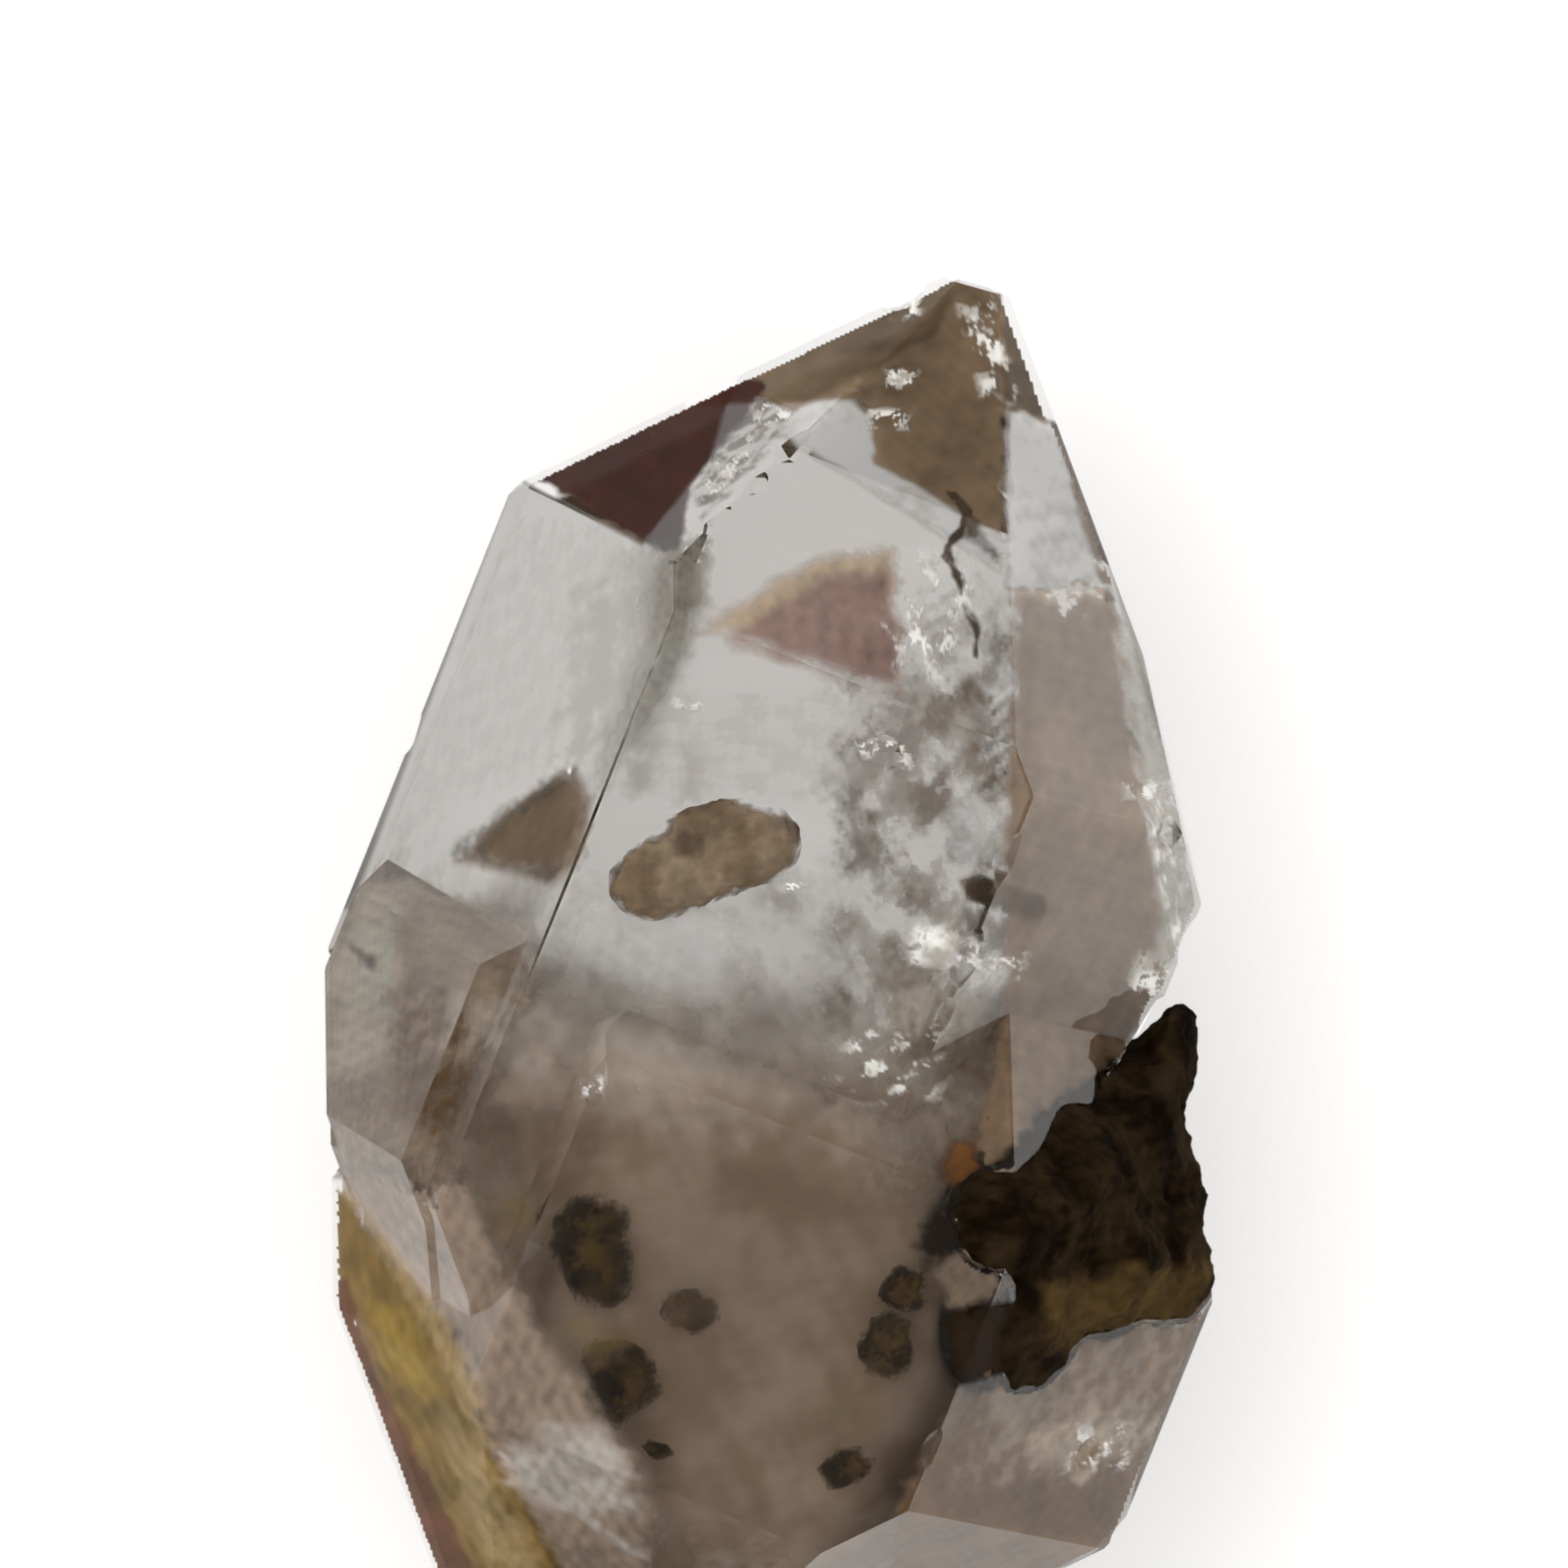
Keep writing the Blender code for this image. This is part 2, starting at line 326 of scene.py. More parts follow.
def piece(
    name: str,
    points: np.ndarray,
    faces: list,
    material: bpy.types.Material,
    slot: Slot,
    paint: np.ndarray | None = None,
) -> bpy.types.Object:
    """Makes a smooth mesh piece that rides with the crystal.

    Args:
        name: the piece's name.
        points: places in millimetres.
        faces: corner numbers of each face.
        material: its finish.
        slot: the record's slot it belongs to; not used.
        paint: a colour and cover for each point, where the finish reads them.

    Returns:
        The object.
    """
    mesh = bpy.data.meshes.new(name)
    mesh.from_pydata((points * MM).tolist(), [], faces)
    mesh.polygons.foreach_set("use_smooth", np.ones(len(mesh.polygons), bool))
    mesh.materials.append(material)
    if paint is not None:
        layer = mesh.color_attributes.new(name=PAINT, type="FLOAT_COLOR", domain="POINT")
        layer.data.foreach_set("color", paint.astype(np.float32).reshape(-1))
    mesh.update()
    made = bpy.data.objects.new(name, mesh)
    bpy.context.scene.collection.objects.link(made)
    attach(made, ROOT)
    log.info("%s: %d points", name, len(points))
    return made


def press_inside(pieces: list[bpy.types.Object], margin: float) -> None:
    """Presses the points that stand out of the crystal, at its chips and worn tips, back inside.

    Args:
        pieces: the sheets and bodies to press.
        margin: how deep under the nearest face they end up, in millimetres.
    """
    for made in pieces:
        press = made.modifiers.new("press", "SHRINKWRAP")
        press.target = frame["nodes"]["crystal"]
        press.wrap_method, press.wrap_mode = "NEAREST_SURFACEPOINT", "INSIDE"
        press.offset = margin * MM
    ready = bpy.context.evaluated_depsgraph_get()
    for made in pieces:
        pressed = bpy.data.meshes.new_from_object(
            made.evaluated_get(ready), preserve_all_data_layers=True, depsgraph=ready
        )
        made.modifiers.clear()
        made.data = pressed


def sheet_faces(rows: int, columns: int) -> np.ndarray:
    """Returns the quads of a grid of points, row by row."""
    row, column = np.meshgrid(np.arange(rows - 1), np.arange(columns - 1), indexing="ij")
    at = row * columns + column
    return np.stack([at, at + 1, at + columns + 1, at + columns], -1).reshape(-1, 4)


# ---- shader helpers


class Graph:
    """Places and joins the shader nodes of one tree."""

    def __init__(self, tree: bpy.types.NodeTree) -> None:
        """Keeps the tree.

        Args:
            tree: a material's, world's or group's node tree.
        """
        self.tree = tree

    def add(self, kind: str, inputs: dict | None = None, **settings) -> bpy.types.Node:
        """Adds one node.

        Args:
            kind: the node's type name.
            inputs: values or output sockets for its inputs, by name or number.
            settings: the node's own options.

        Returns:
            The new node.
        """
        node = self.tree.nodes.new(kind)
        for name, value in settings.items():
            setattr(node, name, value)
        for key, value in (inputs or {}).items():
            self.feed(node.inputs[key], value)
        return node

    def feed(self, socket: Socket, value: Feed) -> None:
        """Joins an output socket to an input, or sets the input's plain value."""
        if isinstance(value, bpy.types.NodeSocket):
            self.tree.links.new(value, socket)
        elif socket.type == "RGBA" and len(value) == 3:
            socket.default_value = (*value, 1.0)
        else:
            socket.default_value = value

    def sum(
        self, operation: str, first: Feed, second: Feed, third: Feed = 0.0, clamp: bool = False
    ) -> Socket:
        """Adds a Math node and returns its result."""
        inputs = {0: first, 1: second, 2: third}
        return self.add("ShaderNodeMath", inputs, operation=operation, use_clamp=clamp).outputs[0]

    def dot(self, vector: Feed, way: Feed) -> Socket:
        """Returns the dot product of two vectors."""
        inputs = {0: vector, 1: way}
        return self.add("ShaderNodeVectorMath", inputs, operation="DOT_PRODUCT").outputs["Value"]

    def rise(
        self, value: Feed, low: float, high: float, start: float = 0.0, end: float = 1.0
    ) -> Socket:
        """Returns a smooth step from start, where value is low, to end, where it is high."""
        inputs = {"Value": value, "From Min": low, "From Max": high, "To Min": start, "To Max": end}
        node = self.add("ShaderNodeMapRange", inputs, interpolation_type="SMOOTHSTEP")
        return node.outputs["Result"]

    def blend(self, amount: Feed, first: Feed, second: Feed) -> Socket:
        """Returns a mix of two colours."""
        inputs = {0: amount, 6: first, 7: second}
        return self.add("ShaderNodeMix", inputs, data_type="RGBA").outputs[2]

    def noise(self, where: Feed, scale: Feed, detail: float, roughness: float = 0.5) -> Socket:
        """Returns a noise value between 0 and 1."""
        inputs = {"Vector": where, "Scale": scale, "Detail": detail, "Roughness": roughness}
        return self.add("ShaderNodeTexNoise", inputs).outputs[0]

    def objects(self) -> Socket:
        """Returns the Object coordinates."""
        return self.add("ShaderNodeTexCoord").outputs["Object"]

    def stretched(self, where: Feed, scale: tuple[float, float, float]) -> Socket:
        """Returns coordinates scaled unevenly."""
        inputs = {"Vector": where, "Scale": scale}
        return self.add("ShaderNodeMapping", inputs, vector_type="TEXTURE").outputs[0]

    def bump(self, strength: float, distance: float, height: Feed) -> Socket:
        """Returns the normal of a surface that is raised by height."""
        inputs = {"Strength": strength, "Distance": distance, "Height": height}
        return self.add("ShaderNodeBump", inputs).outputs[0]


def new_material(name: str) -> tuple[bpy.types.Material, Graph, bpy.types.Node]:
    """Makes a material with one Principled shader joined to its output.

    Args:
        name: the material's name.

    Returns:
        The material, its graph and the Principled node.
    """
    material = bpy.data.materials.new(name)
    material.use_nodes = True
    graph = Graph(material.node_tree)
    material.node_tree.nodes.clear()
    principled = graph.add("ShaderNodeBsdfPrincipled")
    graph.add("ShaderNodeOutputMaterial", {"Surface": principled.outputs["BSDF"]})
    return material, graph, principled


class Groups:
    """The effect that several materials share, as a shader node group."""

    def __init__(self) -> None:
        """Builds the group."""
        self.speckle = self._speckle()

    @staticmethod
    def _speckle() -> bpy.types.NodeTree:
        """Paint broken up by fine grains: the paint times 1 plus Depth times a noise about 0.

        Returns:
            The group, with Place, Scale, Paint and Depth in and Colour and Relief out.
        """
        group = bpy.data.node_groups.new("speckle", "ShaderNodeTree")
        sockets = {
            "INPUT": {"Place": "Vector", "Scale": "Float", "Paint": "Color", "Depth": "Float"},
            "OUTPUT": {"Colour": "Color", "Relief": "Float"},
        }
        for end, kinds in sockets.items():
            for label, kind in kinds.items():
                group.interface.new_socket(name=label, in_out=end, socket_type=f"NodeSocket{kind}")
        graph = Graph(group)
        given, out = graph.add("NodeGroupInput").outputs, graph.add("NodeGroupOutput").inputs
        grain = graph.noise(given["Place"], given["Scale"], 2.0, 0.6)
        even = graph.sum("MULTIPLY_ADD", grain, 4.0, -2.0)
        gain = graph.sum("MULTIPLY_ADD", even, given["Depth"], 1.0)
        inputs = {0: given["Paint"], "Scale": gain}
        broken = graph.add("ShaderNodeVectorMath", inputs, operation="SCALE")
        graph.feed(out["Colour"], broken.outputs[0])
        graph.feed(out["Relief"], grain)
        return group


# ---- finishes


@dataclass(frozen=True)
class Patch:
    """A soft-edged convex patch on the front of the crystal, by its corners in picture pixels.

    Its tint colours the face, and matt is how far it takes the face's gloss away.
    """

    corners: Corners
    tint: Colour
    blur: float = 12.0
    matt: float = 0.0

    def mask(self, graph: Graph, place: Socket) -> Socket:
        """Builds the mask: the least distance inside the patch's sides, as a smooth step.

        Args:
            graph: the material's graph.
            place: the shaded point's Object coordinates.

        Returns:
            A value from 0 to 1.
        """
        matrix, constant = PICTURE.rows()
        corners = np.array(self.corners)
        middle = corners.mean(axis=0)
        least = None
        for first, second in zip(corners, np.roll(corners, -1, axis=0)):
            side = second - first
            way = np.array([side[1], -side[0]]) / np.linalg.norm(side)
            if (middle - first) @ way < 0.0:
                way = -way
            offset = float((constant - first) @ way)
            gap = graph.sum("ADD", graph.dot(place, tuple(way @ matrix)), offset)
            least = gap if least is None else graph.sum("MINIMUM", least, gap)
        return graph.rise(least, -self.blur / 2.0, self.blur / 2.0)


@dataclass(frozen=True)
class QuartzFinish:
    """Clear quartz with tinted patches, some of them painted reflections and shade, faint growth
    lines and plain absorption.
    """

    ior: float = 1.544
    absorption: Colour = (0.80, 0.74, 0.66)
    density: float = 6.0
    clear: Colour = (0.975, 0.972, 0.968)
    gloss: float = 0.35
    front_height: float = 7.2
    front_blur: float = 0.4
    line_size: tuple[float, float, float] = (0.02, 0.0012, 0.02)
    line_strength: float = 0.08
    line_relief: float = 0.0004
    patches: tuple[Patch, ...] = (
        # painted reflections, made matt: the dark red left slope under the tip, the olive strip above
        # it, and the brown right slope
        Patch(((520, 480), (700, 372), (775, 383), (712, 462), (682, 568)), (0.2, 0.07, 0.055), 8,
              0.93),
        Patch(((690, 394), (700, 374), (905, 262), (975, 262), (905, 345), (866, 384), (850, 398),
               (780, 406), (690, 404)), (0.55, 0.45, 0.33), 8, 0.92),
        Patch(((1000, 262), (1030, 285), (1078, 400), (1060, 424), (1005, 410)), (0.55, 0.45, 0.33),
              8, 0.92),
        # the thin shaded outlines of the left and the right side, and the brown wedge
        Patch(((498, 486), (511, 492), (352, 912), (334, 912)), (0.42, 0.4, 0.37), 7),
        Patch(((1096, 520), (1110, 516), (1190, 790), (1176, 794)), (0.55, 0.52, 0.48), 7),
        Patch(((462, 862), (520, 806), (578, 768), (596, 800), (588, 858), (556, 884)),
              (0.9, 0.8, 0.7), 16, 0.75),
        # the yellow-brown lower left side, and the toe of the dark lump
        Patch(((310, 1180), (345, 1180), (457, 1330), (560, 1580), (400, 1590), (310, 1300)),
              (0.8, 0.66, 0.45), 12, 0.92),
        Patch(((946, 1306), (1050, 1290), (1066, 1338), (1000, 1370), (952, 1382)),
              (0.3, 0.25, 0.2), 8, 0.95),
    )

    def make(self) -> bpy.types.Material:
        """Builds the material and returns it.

        A camera ray crosses the tinted front once, and the shader gives each crossing the root of
        the base colour, so a patch's tint is squared.
        """
        material, graph, glass = new_material("clear_quartz")
        place = graph.objects()
        height = graph.add("ShaderNodeSeparateXYZ", {"Vector": place}).outputs["Z"]
        low, high = self.front_height - self.front_blur, self.front_height + self.front_blur
        front = graph.rise(height, low * MM, high * MM)
        paint, cover = self.clear, 1.0
        for patch in self.patches:
            mask = graph.sum("MULTIPLY", patch.mask(graph, place), front)
            paint = graph.blend(mask, paint, tuple(part * part for part in patch.tint))
            if patch.matt:
                cover = graph.sum("MULTIPLY_ADD", mask, -patch.matt, cover, clamp=True)
        graph.feed(glass.inputs["Base Color"], paint)
        graph.feed(glass.inputs["Alpha"], cover)
        glass.inputs["Transmission Weight"].default_value = 1.0
        glass.inputs["IOR"].default_value = self.ior
        glass.inputs["Roughness"].default_value = 0.0
        glass.inputs["Specular Tint"].default_value = (self.gloss,) * 3 + (1.0,)
        lines = graph.noise(graph.stretched(place, self.line_size), 1.0, 0.0)
        graph.feed(glass.inputs["Normal"], graph.bump(self.line_strength, self.line_relief, lines))
        haze = {"Color": self.absorption, "Density": self.density}
        volume = graph.add("ShaderNodeVolumeAbsorption", haze).outputs[0]
        output = next(n for n in material.node_tree.nodes if n.type == "OUTPUT_MATERIAL")
        graph.feed(output.inputs["Volume"], volume)
        return material


@dataclass(frozen=True)
class PaintedFinish:
    """Matter whose colour and cover are painted on each point.

    depth breaks the colour up by fine grains, relief gives a rough skin, and glow makes the paint
    shine in its own colour, a painted highlight for the glints.
    """

    name: str
    groups: Groups
    scale: float = 3000.0
    depth: float = 0.0
    roughness: float = 0.9
    shine: float = 0.1
    relief: float = 0.0
    glow: float = 0.0
    relief_m: float = 0.0003

    def make(self) -> bpy.types.Material:
        """Builds the material and returns it."""
        material, graph, paint = new_material(self.name)
        milk = graph.add("ShaderNodeVertexColor", layer_name=PAINT)
        graph.feed(paint.inputs["Base Color"], milk.outputs["Color"])
        graph.feed(paint.inputs["Alpha"], milk.outputs["Alpha"])
        paint.inputs["Roughness"].default_value = self.roughness
        paint.inputs["Specular IOR Level"].default_value = self.shine
        if self.depth:
            given = {"Place": graph.objects(), "Scale": self.scale, "Depth": self.depth}
            given["Paint"] = milk.outputs["Color"]
            speckle = graph.add("ShaderNodeGroup", given, node_tree=self.groups.speckle).outputs
            graph.feed(paint.inputs["Base Color"], speckle["Colour"])
            skin = graph.bump(self.relief, self.relief_m, speckle["Relief"])
            graph.feed(paint.inputs["Normal"], skin)
        # painted highlight: the paint glows in its own colour
        if self.glow:
            graph.feed(paint.inputs["Emission Color"], milk.outputs["Color"])
            paint.inputs["Emission Strength"].default_value = self.glow
            material.cycles.emission_sampling = "NONE"
        return material


# ---- paint for the points of a piece


class Thinning(Enum):
    """Where milky matter thins out."""

    UP_THE_AXIS = "up"
    AT_BORDERS = "borders"
    NOWHERE = "nowhere"


@dataclass(frozen=True)
class StainOrLight:
    """A patch of another colour and cover, by its corners in picture pixels: some are stains, others
    painted reflections, shade and light.

    ragged is how far its border wanders, in pixels, and broken is the share of it that gaps take.
    """

    corners: Corners
    colour: Colour
    cover: float | None = None
    blur: float = 16.0
    ragged: float = 8.0
    strength: float = 1.0
    broken: float = 0.0
    border_wave: float = 1.1
    gap_wave: float = 0.8
    gap_range: tuple[float, float] = (-0.25, 0.3)
    seed: int = 90

    def amount(self, points: np.ndarray) -> np.ndarray:
        """How much of the patch each point gets.

        The distance to the nearest side counts as negative outside the corners, where a line to the
        left crosses an even number of sides. A ripple makes it ragged, it rises smoothly over the
        blur, and another ripple breaks it up.

        Args:
            points: places in millimetres.

        Returns:
            A share from 0 to 1 for each point.
        """
        across, down = PICTURE.pixels(points)
        corners = np.array(self.corners, float)
        gap, within = np.full(across.shape, np.inf), np.zeros(across.shape, bool)
        for first, second in zip(corners, np.roll(corners, -1, axis=0)):
            side = second - first
            dx, dy = across - first[0], down - first[1]
            t = np.clip((dx * side[0] + dy * side[1]) / (side @ side), 0.0, 1.0)
            gap = np.minimum(gap, np.hypot(dx - t * side[0], dy - t * side[1]))
            between = (first[1] > down) != (second[1] > down)
            within ^= between & (dx < side[0] * dy / (side[1] or 1.0))
        gap = np.where(within, gap, -gap)
        gap = gap + self.ragged * ripple(points, self.border_wave, self.seed)
        amount = self.strength * smooth(gap, -self.blur / 2.0, self.blur / 2.0)
        if self.broken:
            gaps = smooth(ripple(points, self.gap_wave, self.seed + 1), *self.gap_range)
            amount = amount * (1.0 - self.broken * gaps)
        return amount


@dataclass(frozen=True)
class Milk:
    """How a piece is coloured: two tones in soft clouds, with stains and painted light, and where it
    thins.
    """

    dark: Colour
    light: Colour
    cover: float
    least: float = 0.0
    wavelength: float = 3.5
    low: float = -0.3
    high: float = 0.4
    seed: int = 1
    thinning: Thinning = Thinning.AT_BORDERS
    border: tuple[float, float] = (0.24, 0.46)
    fade_way: tuple[float, float, float] = (-0.177, 1.0, 0.0)
    fade: tuple[float, float] = (-0.3, 1.2)
    wobble: float = 0.8
    streak: tuple[float, float, float] = (1.0, 1.0, 0.4)
    stains_or_light: tuple[StainOrLight, ...] = ()
    grain: float = 0.30
    stain_or_light_grain: float = 0.60
    stain_or_light_depth: float = 0.35
    border_wander: float = 0.10
    front: tuple[float, float] = (7.2, 8.8)

    @classmethod
    def stained_or_lit(
        cls, dark: Colour, light: Colour, wavelength: float, seed: int,
        border: tuple[float, float], *stains_or_light: StainOrLight, **more: tuple,
    ) -> "Milk":
        """Colours a sheet that is clear but for its stains and its patches of painted light and
        shade.

        Args:
            dark: the darker tone.
            light: the lighter tone.
            wavelength: of the lumpy fields, in millimetres.
            seed: picks the fields.
            border: where the cover starts and ends its fall towards the sheet's border.
            stains_or_light: the stains and painted patches, the last on top.
            more: other fields by name.

        Returns:
            The paint.
        """
        fields = {"wavelength": wavelength, "seed": seed, "border": border, "stains_or_light": stains_or_light}
        return cls(dark, light, 0.0, **fields, **more)

    def paint(self, points: np.ndarray, side: np.ndarray | None = None) -> np.ndarray:
        """Colours the points.

        One lumpy field mixes the tones and another gives the cover between least and cover. The
        cover falls to nothing past the fading plane, or towards the borders of a sheet or grain.

        Args:
            points: places in millimetres.
            side: how near each point is to the border, 0 in the middle and 0.5 on it.

        Returns:
            Red, green, blue and cover for each point.
        """
        drawn = points * np.array(self.streak)
        tone = ripple(drawn, self.wavelength, self.seed, 4)
        fine = ripple(drawn, self.wavelength / 5.0, self.seed + 1, 2)
        thick = ripple(drawn, self.wavelength, self.seed + 2, 4)
        mix = smooth(tone + self.grain * fine, -0.5, 0.5)[..., None]
        colour = np.array(self.dark) * (1.0 - mix) + np.array(self.light) * mix
        cover = smooth(thick + self.grain * fine, self.low, self.high)
        cover = self.least + (self.cover - self.least) * cover
        if self.thinning is Thinning.UP_THE_AXIS:
            along = points @ np.array(self.fade_way) + self.wobble * (tone + self.grain * fine)
            cover = cover * (1.0 - smooth(along, *self.fade))
        mottle = tone + self.stain_or_light_grain * fine
        for stain_or_light in self.stains_or_light:
            amount = stain_or_light.amount(points)
            if self.thinning is Thinning.UP_THE_AXIS:
                amount = amount * smooth(points[..., 2], *self.front)
            own = np.array(stain_or_light.colour) * (1.0 + self.stain_or_light_depth * mottle)[..., None]
            colour = colour + (np.clip(own, 0.0, 1.0) - colour) * amount[..., None]
            if stain_or_light.cover is not None:
                cover = cover + (stain_or_light.cover - cover) * amount
        if self.thinning is Thinning.AT_BORDERS:
            cover = cover * (1.0 - smooth(side + self.border_wander * mottle, *self.border))
        cover = np.clip(cover, 0.0, 1.0)[..., None]
        return np.concatenate([colour, cover], axis=-1).reshape(-1, 4)


# ---- pieces


NOTCH = (
    ((10.72, 24.53, 8.93), (0.66, 0.80, 1.50)),
    ((10.85, 23.05, 8.95), (0.97, 1.05, 2.20)),
    ((10.45, 21.63, 9.80), (1.53, 1.53, 2.80)),
    ((9.66, 20.26, 13.60), (1.68, 1.68, 2.80)),
    ((11.86, 20.15, 9.05), (1.50, 1.50, 2.35)),
    ((10.98, 18.74, 12.60), (1.80, 1.75, 2.60)),
    ((12.66, 18.79, 10.10), (1.15, 1.15, 2.00)),
    ((9.05, 19.33, 16.25), (1.30, 1.30, 1.90)),
    ((8.35, 18.99, 17.30), (1.33, 1.10, 1.45)),
    ((9.60, 16.74, 15.05), (1.48, 1.55, 2.35)),
)  # middles and half sizes of the dark lump's rounded masses, from DATUM


def in_notch(points: np.ndarray, margin: float) -> np.ndarray:
    """Tells which points lie in the notch's rounded masses, grown by a margin."""
    masses = ((points - DATUM - middle) / (np.array(half) + margin) for middle, half in NOTCH)
    return np.any([np.linalg.norm(mass, axis=-1) < 1.0 for mass in masses], axis=0)


def under_face(
    across: np.ndarray, down: np.ndarray, depth: np.ndarray,
    low: float = 3.0, high: float = 18.6, step: float = 0.2, halvings: int = 8,
) -> tuple[np.ndarray, np.ndarray]:
    """Finds how high the picture's line of sight first lies a depth inside the crystal.

    The line is walked up in even steps for the last one that is deep enough, then the step is
    halved again and again.

    Args:
        across: pixels from the picture's left side.
        down: pixels from its top.
        depth: how deep under the nearest face, in millimetres.
        low: where the walk starts, in millimetres over the floor.
        high: where it ends.
        step: its first step.
        halvings: how often the step is halved.

    Returns:
        The heights in millimetres, and which of them were found.
    """
    height = np.full(across.shape, low)
    for level in np.arange(low, high, step):
        height = np.where(inside(PICTURE.place(across, down, level)) >= depth, level, height)
    found = height > low
    for _ in range(halvings):
        step /= 2.0
        deep = inside(PICTURE.place(across, down, height + step)) >= depth
        height = np.where(deep, height + step, height)
    return height, found


def evened(radius: np.ndarray, times: int) -> np.ndarray:
    """Evens radii out round the last axis: half of each, and a quarter of both neighbours."""
    for _ in range(times):
        radius = (np.roll(radius, 1, axis=-1) + np.roll(radius, -1, axis=-1) + 2.0 * radius) / 4.0
    return radius


@dataclass(frozen=True)
class Haze:
    """A milky body inside the crystal that keeps a share of its section."""

    name: str
    share: float
    low_y: float
    high_y: float
    milk: Milk
    swell: float = 0.3
    seed: int = 3
    rounding: float = 16.0
    rings: int = 190
    around: int = 300
    upper_x: float = -2.0
    lower_x: float = 1.0
    blend_y: float = 4.0
    middle_z: float = 9.0
    widest: float = 14.0
    lump_wave: float = 7.0
    even_radius: float = 4.0
    notch_margin: float = 0.5
    notch_steps: int = 24
    notch_step: float = 0.2
    evenings: int = 3

    def build(self, material: bpy.types.Material) -> bpy.types.Object:
        """Builds the skin.

        Along the c axis t runs from 0 to 1, and turn goes round it. The radius is the share of the
        way to the faces, times the root of 1 less the cosine of pi t to the eighth, which rounds
        both ends, less a lumpy ripple. It steps back from the notch, and is evened out.

        Args:
            material: the milky finish.

        Returns:
            The piece.
        """
        t = (np.arange(self.rings) + 0.5) / self.rings
        turn = np.linspace(0.0, 2.0 * np.pi, self.around, endpoint=False)
        t, turn = np.meshgrid(t, turn, indexing="ij")
        y = self.low_y + (self.high_y - self.low_y) * (0.5 - 0.5 * np.cos(np.pi * t))
        lower = smooth(-y, -self.blend_y, self.blend_y)
        middle_x = self.upper_x + (self.lower_x - self.upper_x) * lower
        start = np.stack([middle_x, y, np.full_like(y, self.middle_z)], axis=-1)
        way = np.stack([np.sin(turn), np.zeros_like(y), np.cos(turn)], axis=-1)
        spans = [growth.span(start, way, self.rounding) for growth in (UPPER, LOWER)]
        ends = np.sqrt(np.clip(1.0 - np.abs(np.cos(np.pi * t)) ** 8, 0.0, 1.0))
        radius = np.clip(np.maximum(*spans), 0.0, self.widest) * self.share * ends
        skin = start + way * radius[..., None]
        lump = self.swell * (ripple(skin, self.lump_wave, self.seed) - 1.0) * 0.5
        radius = radius + lump * np.clip(radius / self.even_radius, 0.0, 1.0)
        for _ in range(self.notch_steps):
            hit = in_notch(start + way * radius[..., None], self.notch_margin)
            radius = radius - self.notch_step * hit
        for _ in range(self.evenings):
            radius = evened(radius, 1)
            inner = (radius[:-2] + radius[2:] + 2.0 * radius[1:-1]) / 4.0
            radius = np.concatenate([radius[:1], inner, radius[-1:]])
        points, faces = wrap(start + way * radius[..., None])
        return piece(self.name, points, faces, material, Slot.QUARTZ, self.milk.paint(points))


@dataclass(frozen=True)
class Veil:
    """A thin wavy sheet that hangs a depth under the front faces, between four picture corners."""

    name: str
    corners: Corners
    depth: float
    milk: Milk
    wave: float = 0.2
    wavelength: float = 4.0
    seed: int = 1
    count: int = 120
    notch_margin: float = 0.35
    ripple_level: float = 15.0
    longest_jump: float = 0.8
    least_cover: float = 0.01

    def build(self, material: bpy.types.Material) -> bpy.types.Object:
        """Builds the sheet.

        It is a straight blend of the four corners in the picture, let down to its depth plus a
        ripple of 0 to twice the wave. Squares that miss the crystal, jump from face to face or have
        no cover are left out.

        Args:
            material: the sheet's finish.

        Returns:
            The piece.
        """
        corner = np.array(self.corners, float)
        a, b = np.meshgrid(*(np.linspace(0.0, 1.0, self.count),) * 2, indexing="ij")
        side = np.maximum(np.abs(a - 0.5), np.abs(b - 0.5))
        a, b = a[..., None], b[..., None]
        first, last = (1 - b) * corner[0] + b * corner[1], (1 - b) * corner[3] + b * corner[2]
        across, down = np.moveaxis((1 - a) * first + a * last, -1, 0)
        level = PICTURE.place(across, down, self.ripple_level)
        dip = self.depth + self.wave * (1.0 + ripple(level, self.wavelength, self.seed))
        height, found = under_face(across, down, dip)
        grid = PICTURE.place(across, down, height)
        found &= ~in_notch(grid, self.notch_margin)
        squares = sheet_faces(self.count, self.count)
        paint = self.milk.paint(grid, side)
        whole = found.reshape(-1)[squares].all(axis=1)
        whole &= np.ptp(height.reshape(-1)[squares], axis=1) < self.longest_jump
        whole &= paint[squares, 3].max(axis=1) > self.least_cover
        kept, faces = np.unique(squares[whole], return_inverse=True)
        points, faces = grid.reshape(-1, 3)[kept], faces.reshape(-1, 4).tolist()
        return piece(self.name, points, faces, material, Slot.QUARTZ, paint[kept])


